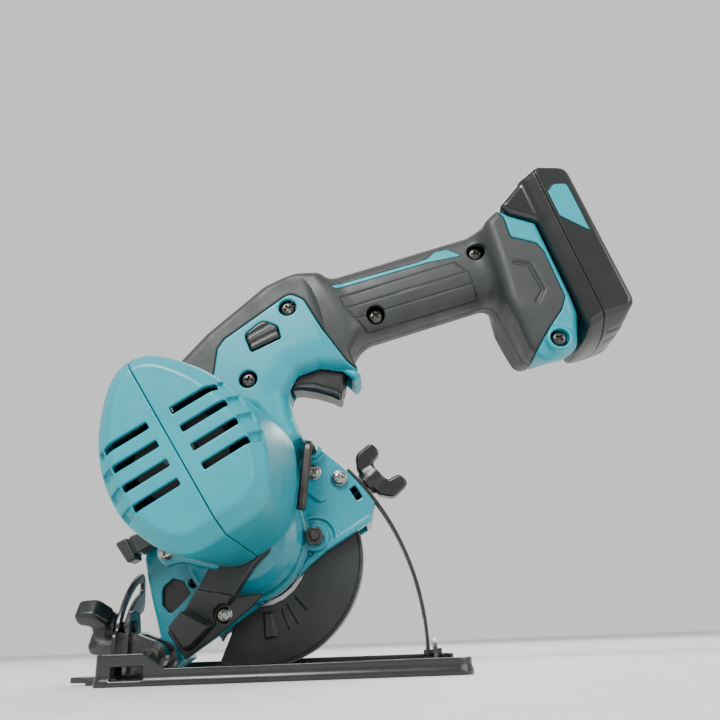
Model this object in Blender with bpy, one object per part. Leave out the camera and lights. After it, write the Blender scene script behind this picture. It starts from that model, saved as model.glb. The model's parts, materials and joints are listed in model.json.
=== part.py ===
"""Compact cordless circular saw with a bar grip, standing on its sole.

The origin is on the underside of the sole, at the middle of its length. +X points to the rear,
+Y to the blade side and +Z up. Sizes are in millimetres and are turned into metres when a mesh
is made. The saw's body swings about the front depth pivot, and is shown at its smallest cut.
"""

import math

import bmesh
import bpy
from mathutils import Matrix, Vector

MM = 0.001
GAP = 0.3

# Base and its hinges
SOLE_X = 74.0
SOLE_NEAR = -48.0
SOLE_FAR = 52.0
SOLE_T = 2.0
SHEET = 1.8
FLANGE_H = 6.4
FRONT_FLANGE_H = 12.0
TONGUE_X = -86.0
OPENING = (-54.0, 56.5, 5.0, 41.0)
TILT_Y = 22.0
TILT_Z = 7.0
TILT_ANGLE = 45.0
TILT_PIN_R = 1.8
QUADRANT_X = -78.0
QUADRANT_R = 35.8
TILT_KNOB_ANGLE = 26.6
BEVEL_KNOB_LEAN = -35.0
BRACKET_X = -73.4

# Depth swing
PIVOT_X = -62.0
PIVOT_Z = 10.0
PIVOT_PIN_R = 2.5
PIVOT_BOSS_R = 6.5
DEPTH_ANGLE = 31.0
CASE_REAR_R = 120.6
GUIDE_R = 121.3
GUIDE_T = 1.6
GUIDE_HALF = 4.5
GUIDE_SLOT_HALF = 2.8
GUIDE_EAR_R = 4.4
DEPTH_KNOB_ANGLE = 8.5
STUD_R = 2.4

# Drive: centres are (along, up) in the saw's own frame
SPINDLE = (59.0, 15.0)
MOTOR = (60.0, 50.0)
GEAR_MODULE = 1.0
PINION_TEETH = 8
IDLER_TEETH = 28
OUTPUT_TEETH = 27
BLADE_R = 42.5
BLADE_T = 1.0
BLADE_Y = 24.0
BLADE_TEETH = 20
GUARD_R = 50.0
GUARD_NEAR_Y = 15.2
GUARD_FAR_Y = 31.6

# Blade case and gear housing
CASE_NEAR_Y = 10.0
CASE_FAR_Y = 34.2
CASE_WALL = 2.4
CASE_R = 56.5
DOME = (58.0, 26.0)
DOME_R = 28.5
FLANGE_CENTRE = (62.0, 50.0)
FLANGE_R = 35.0
FLANGE_Y = -16.9

# Motor pod
POD_NEAR_Y = -88.0
POD_FAR_Y = -17.3
POD_WALL = 2.4
POD_SPLIT_U = 60.5

# Handle: its own frame is turned down from the saw's frame by this angle
HANDLE_ANGLE = 15.0
HANDLE_HALF = 17.0
HANDLE_WALL = 2.3
GRIP_K = 134.8
GRIP_HALF_HEIGHT = 19.5
GRIP_SKIN = 1.6
FOOT_HALF = 27.0
BATTERY_HALF = 31.0
BATTERY_FACE = 238.3
BATTERY_BACK = 263.5

# Corners with radii: the front cover in the saw's frame, the foot in the handle's frame
FRONT_COVER = (
    (66.0, 86.0, 2), (66.0, 102.0, 3), (72.0, 114.5, 6), (94.0, 121.5, 12), (132.0, 128.3, 12),
    (148.0, 127.0, 8), (160.0, 119.0, 4), (158.0, 80.0, 6), (150.0, 78.0, 3), (148.0, 61.5, 2),
    (144.5, 58.8, 2), (141.0, 69.5, 4), (131.0, 76.0, 5), (121.0, 77.0, 5), (111.0, 71.0, 5),
    (107.6, 60.0, 3), (105.5, 54.0, 1), (96.5, 52.0, 1), (94.0, 72.0, 3), (84.0, 84.0, 3),
)
FOOT = (
    (212.0, 151.0, 4), (221.5, 155.5, 2), (226.5, 149.8, 1), (237.4, 141.6, 2), (237.4, 88.0, 8),
    (230.0, 72.0, 6), (216.0, 67.0, 4), (209.5, 80.0, 6), (208.0, 105.0, 8), (210.0, 128.0, 8),
)
TRIGGER_ROOM = (
    (112.0, 66.0), (136.0, 50.0), (140.2, 57.6), (147.4, 68.4), (147.2, 78.0), (136.0, 92.0),
    (118.0, 92.0),
)
LOCK_BUTTON = (116.5, 103.5)

# Screws: (along, up) on the case; (along, up, seat, far end of the far half's post) on the handle
CASE_SCREWS = ((112.0, 25.9), (102.7, 35.7))
HANDLE_SCREWS = (
    (135.4, 109.6, -13.6, 15.6), (99.2, 87.0, -13.6, 15.6), (171.2, 82.0, -11.2, 9.8),
    (233.8, 81.9, -12.6, 13.2), (235.6, 17.7, -23.0, 25.0),
)
STUD_NUT = (86.6, 7.7)
WRENCH_BEND = (108.0, 46.0)

# Blower duct
DUCT_SCREW = (35.0, -2.0)
DUCT_NEAR_Y = -16.4
DUCT_FAR_Y = -8.2
DUCT_FLANGE_Y = -10.2

HANDLE = Matrix.Rotation(math.radians(HANDLE_ANGLE), 4, "Y")
MATERIALS = {
    "teal_plastic": ((0.02, 0.47, 0.56), 0.38, 0.0),
    "teal_paint": ((0.02, 0.44, 0.54), 0.32, 0.0),
    "elastomer": ((0.055, 0.06, 0.06), 0.75, 0.0),
    "black_plastic": ((0.02, 0.02, 0.022), 0.4, 0.0),
    "guard_plastic": ((0.05, 0.055, 0.055), 0.5, 0.0),
    "black_steel": ((0.015, 0.016, 0.017), 0.28, 0.5),
    "black_screw": ((0.03, 0.03, 0.03), 0.35, 0.8),
    "zinc_screw": ((0.6, 0.59, 0.56), 0.3, 1.0),
    "bright_steel": ((0.62, 0.63, 0.64), 0.25, 1.0),
    "tool_steel": ((0.09, 0.085, 0.08), 0.4, 0.7),
    "motor_steel": ((0.35, 0.36, 0.37), 0.35, 1.0),
    "lamination": ((0.25, 0.23, 0.22), 0.5, 0.8),
    "copper": ((0.75, 0.35, 0.18), 0.3, 1.0),
    "cell_wrap": ((0.1, 0.25, 0.12), 0.5, 0.0),
}


# ---- outlines ----


def arc(centre, radius, start, end, steps):
    """Points on a circle from one angle to another, in degrees."""
    points = []
    for i in range(steps + 1):
        angle = math.radians(start + (end - start) * i / steps)
        points.append((centre[0] + radius * math.cos(angle), centre[1] + radius * math.sin(angle)))
    return points


def circle(centre, radius, steps=24):
    return arc(centre, radius, 0.0, 360.0, steps)[:-1]


def rectangle(low, high):
    return [(low[0], low[1]), (high[0], low[1]), (high[0], high[1]), (low[0], high[1])]


def rounded(corners, steps=2):
    """A closed outline from (x, y, radius) corners, with each corner turned into an arc."""
    points = []
    count = len(corners)
    for i, (x, y, radius) in enumerate(corners):
        here = Vector((x, y))
        before = Vector(corners[i - 1][:2]) - here
        after = Vector(corners[(i + 1) % count][:2]) - here
        if radius <= 0.0:
            points.append((x, y))
            continue
        half = before.angle(after) / 2.0
        reach = min(radius / math.tan(half), 0.49 * before.length, 0.49 * after.length)
        start = here + before.normalized() * reach
        end = here + after.normalized() * reach
        for k in range(steps + 1):
            t = k / steps
            point = start * (1 - t) ** 2 + here * 2 * t * (1 - t) + end * t * t
            points.append((point.x, point.y))
    return points


def offset(outline, distance):
    """The outline moved outwards by a distance, with mitred corners."""
    area = sum(a[0] * b[1] - b[0] * a[1] for a, b in zip(outline, outline[1:] + outline[:1]))
    side = distance if area > 0 else -distance
    points = []
    count = len(outline)
    for i in range(count):
        here = Vector(outline[i])
        first = (here - Vector(outline[i - 1])).normalized()
        second = (Vector(outline[(i + 1) % count]) - here).normalized()
        normal = Vector((first.y + second.y, -first.x - second.x))
        if normal.length < 1e-6:
            normal = Vector((first.y, -first.x))
        normal.normalize()
        cosine = max(0.4, normal.dot(Vector((first.y, -first.x))))
        point = here + normal * side / cosine
        points.append((point.x, point.y))
    return points


def shrunk(corners, distance):
    """Corners with radii moved inwards, before they are rounded."""
    points = offset([corner[:2] for corner in corners], -distance)
    return [(x, y, corner[2]) for (x, y), corner in zip(points, corners)]


def gear_outline(centre, teeth, phase, thickness=0.85, tip=0.8, root=1.2):
    """Involute teeth; phase is the angle in radians of the middle of one tooth."""
    pitch_r = teeth * GEAR_MODULE / 2.0
    pressure = math.radians(20.0)
    base_r = pitch_r * math.cos(pressure)
    involute = math.tan(pressure) - pressure
    half = math.pi / teeth / 2.0 * thickness
    radii = [pitch_r - root * GEAR_MODULE, pitch_r - 0.1 * GEAR_MODULE, pitch_r + tip * GEAR_MODULE]
    flank = []
    for radius in radii:
        turn = math.acos(min(1.0, base_r / radius))
        flank.append((radius, half + involute - (math.tan(turn) - turn)))
    points = []
    for i in range(teeth):
        middle = phase + 2.0 * math.pi * i / teeth
        for radius, angle in flank:
            points.append((radius, middle - angle))
        for radius, angle in reversed(flank):
            points.append((radius, middle + angle))
    return [(centre[0] + r * math.cos(a), centre[1] + r * math.sin(a)) for r, a in points]


def egg(centre, half_width, below, above, steps=28, point=1.7):
    """A round-bottomed outline that narrows to a soft peak at its top."""
    outline = []
    for i in range(steps):
        angle = 2.0 * math.pi * i / steps
        across = math.cos(angle)
        up = math.sin(angle)
        power = point if up > 0 else 2.0
        reach = (abs(across) ** power + abs(up) ** power) ** (-1.0 / power)
        height = above if up > 0 else below
        outline.append((centre[0] + half_width * across * reach, centre[1] + height * up * reach))
    return outline


# ---- solids, each a bmesh in millimetres ----


def loft(rings):
    """A closed solid through rings with equal point counts."""
    mesh = bmesh.new()
    rows = [[mesh.verts.new(point) for point in ring] for ring in rings]
    count = len(rows[0])
    for first, second in zip(rows, rows[1:]):
        for i in range(count):
            j = (i + 1) % count
            mesh.faces.new((first[i], first[j], second[j], second[i]))
    mesh.faces.new(list(reversed(rows[0])))
    mesh.faces.new(rows[-1])
    bmesh.ops.recalc_face_normals(mesh, faces=mesh.faces)
    return mesh


def along_y(outline, y):
    return [(a, y, b) for a, b in outline]


def prism(outline, low, high, bevel_low=0.0, bevel_high=0.0, steps=2):
    """An (along, up) outline extruded across the saw, with its end edges rounded if asked."""
    mesh = loft([along_y(outline, low), along_y(outline, high)])
    for y, width in ((low, bevel_low), (high, bevel_high)):
        if width > 0.0:
            edges = [e for e in mesh.edges if all(abs(v.co.y - y) < 1e-4 for v in e.verts)]
            bmesh.ops.bevel(
                mesh, geom=edges, offset=width, segments=steps, profile=0.5, affect="EDGES",
                clamp_overlap=True,
            )
    return mesh


def cushion(corners, low, high, edge):
    """Corners with radii extruded across the saw, with both end edges rounded by insets."""
    levels = ((low, edge), (low + edge, 0.0))
    levels += tuple((low + high - y, inset) for y, inset in reversed(levels))
    return loft([along_y(rounded(shrunk(corners, inset)), y) for y, inset in levels])


def slab(outline, low, high):
    """A plan (x, y) outline extruded upwards."""
    return loft([[(a, b, low) for a, b in outline], [(a, b, high) for a, b in outline]])


def across(outline, low, high):
    """A (y, z) outline extruded along X."""
    return loft([[(low, a, b) for a, b in outline], [(high, a, b) for a, b in outline]])


def box(low, high):
    return slab(rectangle(low, high), low[2], high[2])


def turned(profile, centre=(0.0, 0.0), steps=20, axis=None):
    """A solid of revolution about Y through centre, from a closed (radius, y) profile."""
    mesh = bmesh.new()
    columns = []
    for radius, y in profile:
        if radius < 1e-6:
            columns.append([mesh.verts.new((0.0, y, 0.0))])
            continue
        ring = []
        for i in range(steps):
            angle = 2.0 * math.pi * i / steps
            ring.append(mesh.verts.new((radius * math.cos(angle), y, radius * math.sin(angle))))
        columns.append(ring)
    for first, second in zip(columns, columns[1:] + columns[:1]):
        if len(first) == 1 and len(second) == 1:
            continue
        for i in range(steps):
            j = (i + 1) % steps
            corners = [first[i % len(first)], first[j % len(first)]]
            corners += [second[j % len(second)], second[i % len(second)]]
            mesh.faces.new(list(dict.fromkeys(corners)))
    bmesh.ops.recalc_face_normals(mesh, faces=mesh.faces)
    if axis:
        mesh.transform(Vector((0.0, 1.0, 0.0)).rotation_difference(Vector(axis)).to_matrix().to_4x4())
    else:
        mesh.transform(Matrix.Translation((centre[0], 0.0, centre[1])))
    return mesh


def rod(radius, low, high, centre=(0.0, 0.0), steps=16):
    return turned([(0.0, low), (radius, low), (radius, high), (0.0, high)], centre, steps)


def ring(inner, outer, low, high, centre=(0.0, 0.0), steps=20):
    profile = [(inner, low), (outer, low), (outer, high), (inner, high)]
    return turned(profile, centre, steps)


def rod_x(radius, low, high, y, z, steps=20):
    mesh = turned([(0.0, low), (radius, low), (radius, high), (0.0, high)], steps=steps, axis=(1, 0, 0))
    return moved(mesh, (0.0, y, z))


def moved(mesh, shift):
    mesh.transform(Matrix.Translation(shift))
    return mesh


def in_handle(mesh):
    """Takes a solid from the handle's frame to the saw's frame."""
    mesh.transform(HANDLE)
    return mesh


def at_radius(mesh, angle, y):
    """Turns a solid built along +Y into one that points away from the pivot at an angle."""
    mesh.transform(Matrix.Rotation(math.radians(-90.0), 4, "Z"))
    mesh.transform(Matrix.Rotation(math.radians(-angle), 4, "Y"))
    return moved(mesh, (0.0, y, 0.0))


# ---- scene objects ----


def clear_scene():
    for existing in list(bpy.data.objects):
        bpy.data.objects.remove(existing, do_unlink=True)


def material(name):
    found = bpy.data.materials.get(name)
    if found:
        return found
    colour, roughness, metallic = MATERIALS[name]
    made = bpy.data.materials.new(name)
    made.use_nodes = True
    made.diffuse_color = (*colour, 1.0)
    shader = made.node_tree.nodes["Principled BSDF"]
    shader.inputs["Base Color"].default_value = (*colour, 1.0)
    shader.inputs["Roughness"].default_value = roughness
    shader.inputs["Metallic"].default_value = metallic
    return made


def frame_empty(name, place, parent=None, turn=0.0):
    empty = bpy.data.objects.new(name, None)
    bpy.context.scene.collection.objects.link(empty)
    empty.parent = parent
    empty.location = [value * MM for value in place]
    empty.rotation_euler = (0.0, math.radians(turn), 0.0)
    return empty


def mesh_object(name, mesh, parent, origin):
    mesh.transform(Matrix.Translation([-value for value in origin]))
    mesh.transform(Matrix.Scale(MM, 4))
    data = bpy.data.meshes.new(name)
    mesh.to_mesh(data)
    mesh.free()
    made = bpy.data.objects.new(name, data)
    bpy.context.scene.collection.objects.link(made)
    made.parent = parent
    made.location = [value * MM for value in origin]
    return made


def piece(name, slot, shape, parent, add=(), cut=(), origin=(0.0, 0.0, 0.0), then=()):
    """One named sub-part: a solid joined with others, cut by others, then shaped by the last list."""
    made = mesh_object(name, shape, parent, origin)
    made.data.shade_smooth()
    made.data.set_sharp_from_angle(angle=math.radians(32.0))
    made.data.materials.append(material(slot))
    jobs = [("UNION", mesh) for mesh in add] + [("DIFFERENCE", mesh) for mesh in cut] + list(then)
    for number, (operation, mesh) in enumerate(jobs):
        tool = mesh_object(f"{name}_tool_{number}", mesh, parent, origin)
        tool.hide_render = True
        tool.display_type = "WIRE"
        modifier = made.modifiers.new(operation.lower(), "BOOLEAN")
        modifier.operation = operation
        modifier.solver = "EXACT"
        modifier.object = tool
    return made


# ---- the base, which stands on the work ----


def build_base(base):
    plan = rounded([
        (-SOLE_X, SOLE_NEAR, 3), (SOLE_X, SOLE_NEAR, 7), (SOLE_X, SOLE_FAR, 7), (-SOLE_X, SOLE_FAR, 3),
        (-SOLE_X, 32, 0), (TONGUE_X, 30, 3), (TONGUE_X, -26, 3), (-SOLE_X, -28, 0),
    ])
    near = SOLE_NEAR + SHEET
    high_end = -53.0
    flanges = [
        box((-SOLE_X + 2, SOLE_NEAR, 0.5), (SOLE_X - 6, near, FLANGE_H)),
        box((-SOLE_X + 2, SOLE_NEAR, 0.5), (high_end, near, FRONT_FLANGE_H)),
        box((-SOLE_X, SOLE_NEAR + 2, 0.5), (-SOLE_X + SHEET, -29, FRONT_FLANGE_H)),
        box((-SOLE_X + 2, SOLE_FAR - SHEET, 0.5), (SOLE_X - 6, SOLE_FAR, FLANGE_H)),
    ]
    opening = rectangle((OPENING[0], OPENING[2]), (OPENING[1], OPENING[3]))
    fence_low = (-67.4, SOLE_NEAR - 1, 2.4)
    cuts = [slab(opening, -1, SOLE_T + 1), box(fence_low, (-54.6, near + 1, 7.2))]
    sight = rounded([(-95, -21, 0.5), (-87, -24.5, 1), (-80, -24.5, 1), (-80, -16, 1), (-87, -18, 1)])
    piece("base_plate", "black_steel", slab(plan, 0, SOLE_T), base, flanges + [slab(sight, 1, 3.4)], cuts)

    bed = SOLE_T + GAP
    pin_hole = rod_x(TILT_PIN_R + GAP, -90, 90, TILT_Y, TILT_Z)
    centre = (TILT_Y, TILT_Z)
    outer = QUADRANT_R + 6.4
    inner = QUADRANT_R - 12.0
    start = 180 - TILT_KNOB_ANGLE + 9
    end = 180 - TILT_KNOB_ANGLE - TILT_ANGLE - 10
    sector = arc(centre, outer, start, end, 10)
    sector += arc(centre, inner, end, start, 10)
    slot_from = 180 - TILT_KNOB_ANGLE + 4.5
    slot_to = 180 - TILT_KNOB_ANGLE - TILT_ANGLE - 4.5
    slot = arc(centre, QUADRANT_R + 2.7, slot_from, slot_to, 10)
    slot += arc(centre, QUADRANT_R - 2.7, slot_to, slot_from, 10)
    low = QUADRANT_X
    high = QUADRANT_X + SHEET
    web = rounded([(-21, bed, 0), (28, bed, 0), (27, 9, 4), (21, 12, 4), (-2, 8, 6), (-8, 19, 3), (-20, 21, 3)])
    added = [across(sector, low, high), box((TONGUE_X + 2, -13, bed), (low + 1, 27, bed + SHEET))]
    piece(
        "bevel_quadrant", "black_steel", across(web, low, high), base, added,
        [across(slot, low - 1, high + 1), pin_hole],
    )
    ear = rounded([(12, bed, 0), (32, bed, 0), (30, 12, 3), (22, 14, 3), (14, 12, 3)])
    foot = box((62.4, 12, bed), (72, 32, bed + SHEET))
    rear_hole = rod_x(TILT_PIN_R + GAP, 50, 80, TILT_Y, TILT_Z)
    piece("rear_tilt_bracket", "black_steel", across(ear, 62.4, 64.2), base, [foot], [rear_hole])
    for name, ends, head in (
        ("front_tilt_pin", (-79.0, -70.2), (-80.4, -78.6)), ("rear_tilt_pin", (58.0, 66.0), (64.8, 66.6)),
    ):
        shaft = rod_x(TILT_PIN_R, ends[0], ends[1], TILT_Y, TILT_Z, 12)
        cap = rod_x(2.5, head[0], head[1], TILT_Y, TILT_Z, 12)
        piece(name, "black_steel", shaft, base, [cap])


# ---- the frame that tilts for bevel cuts and carries the depth pivot ----


def build_tilt_frame(tilt):
    bed = SOLE_T + 2 * GAP
    knob_y = TILT_Y - QUADRANT_R * math.cos(math.radians(TILT_KNOB_ANGLE))
    knob_z = TILT_Z + QUADRANT_R * math.sin(math.radians(TILT_KNOB_ANGLE))
    plate = rounded([
        (26.2, bed, 4.4), (26.6, 12.4, 4.4), (18, 12.4, 4), (2, 16, 6), (-3, 29.5, 5), (-17, 29.5, 5),
        (-17, bed, 2),
    ], 3)
    lug = arc((PIVOT_X, PIVOT_Z), PIVOT_BOSS_R, -90, 62, 8) + [(BRACKET_X + 1, 21), (BRACKET_X + 1, 3.5)]
    cuts = [
        rod(PIVOT_PIN_R + GAP, -20, 20, (PIVOT_X, PIVOT_Z)),
        rod_x(TILT_PIN_R + GAP, -80, -60, TILT_Y, TILT_Z),
        rod_x(STUD_R + GAP, -80, -69, knob_y, knob_z),
        box((-69.5, -8.5, 1), (-50, 2.5, 30)),
    ]
    body = across(plate, BRACKET_X, BRACKET_X + SHEET)
    piece("front_tilt_bracket", "black_steel", body, tilt, [prism(lug, -14, 9.4)], cuts)

    outer = GUIDE_R + GUIDE_T
    centre = (PIVOT_X, PIVOT_Z)
    strip = arc(centre, outer, -1.4, 45, 14) + arc(centre, GUIDE_R, 45, -1.4, 14)
    slot = arc(centre, outer + 3, 6, 42.5, 8) + arc(centre, GUIDE_R - 3, 42.5, 6, 8)
    cuts = [
        prism(slot, TILT_Y - GUIDE_SLOT_HALF, TILT_Y + GUIDE_SLOT_HALF),
        rod_x(TILT_PIN_R + GAP, 50, 70, TILT_Y, TILT_Z),
    ]
    ear = rod_x(GUIDE_EAR_R, 59.2, 60.8, TILT_Y, TILT_Z)
    strip = prism(strip, TILT_Y - GUIDE_HALF, TILT_Y + GUIDE_HALF)
    piece("depth_guide", "black_steel", strip, tilt, [ear], cuts)
    pin = turned([
        (0, -16), (4, -16), (4, -14.4), (PIVOT_PIN_R, -14.4), (PIVOT_PIN_R, 24.5), (0, 24.5),
    ], (PIVOT_X, PIVOT_Z), 20)
    piece("depth_pivot_pin", "black_steel", pin, tilt)


def wing_knob(stud_from, seat, length):
    """A two-winged clamping knob on a threaded stud, built along +Y."""
    hub = turned([
        (0, stud_from), (STUD_R, stud_from), (STUD_R, seat), (6, seat), (6.4, seat + 4), (5.4, seat + 9.6),
        (0, seat + 9.6),
    ], steps=20)
    wings = []
    for side in (-1, 1):
        wing = rounded([
            (side * 1.0, seat + 1.2, 0), (side * 8.6, seat + 1.4, 2), (side * 15.0, seat + 6.0, 4),
            (side * 14.6, seat + length, 3), (side * 7.4, seat + length - 0.5, 3),
            (side * 6.6, seat + 9.4, 3), (side * 1.0, seat + 9.0, 0),
        ])
        wings.append(slab(wing, -4.4, 4.4))
    return hub, wings


def build_knobs(tilt, saw):
    knob_y = TILT_Y - QUADRANT_R * math.cos(math.radians(TILT_KNOB_ANGLE))
    knob_z = TILT_Z + QUADRANT_R * math.sin(math.radians(TILT_KNOB_ANGLE))
    hub, wings = wing_knob(-8.5, 0, 15.5)
    seat_x = QUADRANT_X - 0.9
    lean = Matrix.Rotation(math.radians(BEVEL_KNOB_LEAN), 4, "X")
    turn = lean @ Matrix.Rotation(math.radians(90.0), 4, "Z")
    place = Matrix.Translation((seat_x, knob_y, knob_z))
    for mesh in [hub] + wings:
        mesh.transform(place @ turn)
    piece("bevel_knob", "black_plastic", hub, tilt, wings, origin=(seat_x, knob_y, knob_z))

    hub, wings = wing_knob(112, GUIDE_R + GUIDE_T + 0.8, 17.0)
    for mesh in [hub] + wings:
        mesh.transform(Matrix.Rotation(math.radians(90.0), 4, "Y"))
        at_radius(mesh, DEPTH_KNOB_ANGLE, TILT_Y)
    angle = math.radians(DEPTH_KNOB_ANGLE)
    seat = (GUIDE_R * math.cos(angle), TILT_Y, GUIDE_R * math.sin(angle))
    piece("depth_knob", "black_plastic", hub, saw, wings, origin=seat)


# ---- blade case, gear housing and motor pod ----


def case_outline():
    """The blade case seen from its side, from its lower rear corner and round the rear."""
    outline = [(113.0, -0.5)]
    outline += arc((0, 0), CASE_REAR_R, 3.2, 28, 6)
    outline += arc(SPINDLE, CASE_R, 52, 148, 10)
    outline += [(7.5, 34.0), (3.6, 19.0), (1.0, 9.0)]
    outline += arc((0, 0), PIVOT_BOSS_R, 125, 275, 6)
    outline += [(49.0, -4.8), (60.0, -5.4), (78.0, -1.8), (88.0, -0.5)]
    return outline


def build_case(saw):
    outline = case_outline()
    inner = offset(outline, -CASE_WALL)
    pocket = prism(inner, CASE_NEAR_Y + CASE_WALL, CASE_FAR_Y - 1.9)
    mouth = [(7.5, 12.0), (8.0, -20.0), (111.0, -20.0), (111.0, 6.0)]
    blade_side = circle(SPINDLE, 30.0, 28)
    window = [(6.0, 13.0), (-20.0, 13.0), (-20.0, -20.0), (105.0, -20.0), (88.0, 6.0)]
    hub = rod(21.0, 5, CASE_NEAR_Y + 5, SPINDLE, 28)
    cuts = [
        pocket,
        prism(mouth, CASE_NEAR_Y + CASE_WALL, CASE_FAR_Y - 1.9),
        prism(blade_side, CASE_FAR_Y - 4, CASE_FAR_Y + 2),
        prism(window, 25.0, CASE_FAR_Y + 2),
        hub,
        rod(PIVOT_PIN_R + GAP, 5, 30, (0, 0)),
        rod(3.5, 5, 40, WRENCH_BEND),
        at_radius(rod(STUD_R + GAP, 105, 130), DEPTH_KNOB_ANGLE, TILT_Y),
        rod(2.3, 5, 14, STUD_NUT),
    ]
    for u, w in CASE_SCREWS:
        cuts.append(rod(1.9, 5, CASE_NEAR_Y + 5, (u, w), 12))
    shape = prism(outline, CASE_NEAR_Y, CASE_FAR_Y, 0, 1.5, 1)
    piece("blade_case", "teal_paint", shape, saw, (), cuts)


def build_gear_housing(saw):
    near = [
        (0, -7.6), (12, -7.6), (20, -6.4), (26, -3.2), (DOME_R, 0.5), (DOME_R, 9.7), (0, 9.7),
    ]
    dome = turned(near, DOME, 24)
    upper = prism(circle(FLANGE_CENTRE, FLANGE_R, 28), FLANGE_Y, 9.7)
    inner_dome = turned([
        (0, -5.6), (17, -5), (21.8, -3.6), (26.5, 0.5), (26.5, 12), (0, 12),
    ], DOME, 24)
    gear_room = prism(circle(FLANGE_CENTRE, FLANGE_R - 2.4, 28), FLANGE_Y + 3, 12)
    cuts = [
        inner_dome,
        gear_room,
        rod(8.3, -30, 0, MOTOR, 20),
        rod_x(2.2, 20, 36, 2.0, 49.5, 12),
    ]
    piece("gear_housing", "teal_paint", dome, saw, [upper], cuts)


def pod_rings(inset, near, far):
    """Egg-shaped rings of the motor pod, narrowing towards its near face."""
    stations = (
        (0.0, 63.0, 49.5, 38.0, 38.0, 49.0), (0.12, 62.0, 50.0, 36.0, 35.5, 49.5),
        (0.75, 60.8, 51.0, 32.8, 38.0, 46.5), (0.88, 61.0, 50.5, 31.8, 37.4, 44.8),
        (0.96, 61.0, 50.5, 29.0, 33.8, 41.4), (1.0, 61.0, 50.5, 25.0, 28.8, 37.0),
    )
    rings = []
    for share, u, w, half, below, above in stations:
        y = far + (near - far) * share
        rings.append(along_y(egg((u, w), half - inset, below - inset, above - inset), y))
    return rings


def build_motor_pod(saw):
    vents = []
    for w in (63.2, 54.7, 46.0, 37.4):
        for low, high in ((66.0, 85.0), (37.0, 56.0)):
            slot = rectangle((low, w - 1.75), (high, w + 1.75))
            vents.append((low > POD_SPLIT_U, slot))
    halves = (
        ("motor_housing_rear", True, (POD_SPLIT_U - 100, POD_SPLIT_U + 0.15)),
        ("motor_housing_front", False, (POD_SPLIT_U - 0.15, POD_SPLIT_U + 100)),
    )
    for name, rear, cutaway in halves:
        cuts = [loft(pod_rings(POD_WALL, POD_NEAR_Y + POD_WALL, POD_FAR_Y + 0.2))]
        cuts.append(box((cutaway[0], -120, -50), (cutaway[1], 20, 150)))
        cuts += [prism(slot, -95, -80) for on_rear, slot in vents if on_rear == rear]
        piece(name, "teal_plastic", loft(pod_rings(0.0, POD_NEAR_Y, POD_FAR_Y)), saw, (), cuts)


# ---- handle ----


def grip_rings(inset, start, end, steps=14):
    """Rounded rings of the grip along the handle's frame."""
    rings = []
    for h, height, width in (
        (start, GRIP_HALF_HEIGHT + 0.6, HANDLE_HALF), (150.0, GRIP_HALF_HEIGHT, HANDLE_HALF - 0.6),
        (185.0, GRIP_HALF_HEIGHT, HANDLE_HALF - 0.6), (end, GRIP_HALF_HEIGHT, HANDLE_HALF),
    ):
        ring_points = []
        for i in range(steps):
            angle = 2.0 * math.pi * i / steps
            across_grip = math.cos(angle)
            up = math.sin(angle)
            reach = (abs(across_grip) ** 3.0 + abs(up) ** 3.0) ** (-1.0 / 3.0)
            y = (width - inset) * across_grip * reach
            k = GRIP_K + (height - inset) * up * reach
            ring_points.append((h, y, k))
        rings.append(ring_points)
    return rings


def handle_solid(inset):
    """The handle's three blocks: the front cover, the grip and the battery foot."""
    edge = 3.0 if inset == 0.0 else 1.0
    front = cushion(shrunk(FRONT_COVER, inset), -HANDLE_HALF + inset, HANDLE_HALF - inset, edge)
    skin = inset + (GRIP_SKIN + GAP)
    grip = in_handle(loft(grip_rings(skin, 118.0, 212.0 - inset)))
    rear = in_handle(cushion(shrunk(FOOT, inset), -FOOT_HALF + inset, FOOT_HALF - inset, edge))
    return front, [grip, rear]


def build_handle(saw):
    for name, side in (("handle_shell_left", -1), ("handle_shell_right", 1)):
        front, rest = handle_solid(0.0)
        cavity, cavity_rest = handle_solid(HANDLE_WALL)
        inside = sorted((side * 0.15, side * -60.0))
        cuts = [cavity] + cavity_rest
        cuts.append(box((0, inside[0], -50), (320, inside[1], 220)))
        cuts.append(prism(circle(FLANGE_CENTRE, FLANGE_R + 0.6, 28), -30, 9.9))
        cuts.append(prism(TRIGGER_ROOM, -8.8, 8.8))
        cuts.append(in_handle(box((228.0, -15.5, 84.0), (245.0, 15.5, 170.0))))
        if side > 0:
            cuts.append(prism(offset(case_outline(), 0.5), 9.6, 40))
        else:
            cuts.append(prism(circle(LOCK_BUTTON, 5.6, 16), -30, -5))
        then = []
        for u, w, seat, far_end in HANDLE_SCREWS:
            ends = (GAP, far_end) if side > 0 else (seat - 2.0, -GAP)
            then.append(("UNION", rod(4.6, ends[0], ends[1], (u, w), 8)))
        for u, w, seat, _far_end in HANDLE_SCREWS:
            if side < 0:
                then.append(("DIFFERENCE", rod(3.7, -40, seat + GAP, (u, w), 10)))
                then.append(("DIFFERENCE", rod(1.8, -40, 5, (u, w), 8)))
        piece(name, "teal_plastic", front, saw, rest, cuts, then=then)
    for name, side in (("grip_overmould_left", -1), ("grip_overmould_right", 1)):
        skin = in_handle(loft(grip_rings(0.0, 132.0, 203.0)))
        inside = sorted((side * 0.15, side * -60.0))
        cuts = [in_handle(loft(grip_rings(GRIP_SKIN, 120.0, 215.0)))]
        cuts.append(box((0, inside[0], -50), (320, inside[1], 220)))
        cuts.append(prism(rounded(shrunk(FRONT_COVER, -0.4)), -30, 30))
        cuts.append(in_handle(prism(rounded(shrunk(FOOT, -0.4)), -40, 40)))
        for u, w, _seat, _far_end in HANDLE_SCREWS:
            if side < 0:
                cuts.append(rod(5.2, -40, -5, (u, w), 8))
        piece(name, "elastomer", skin, saw, (), cuts)


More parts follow.
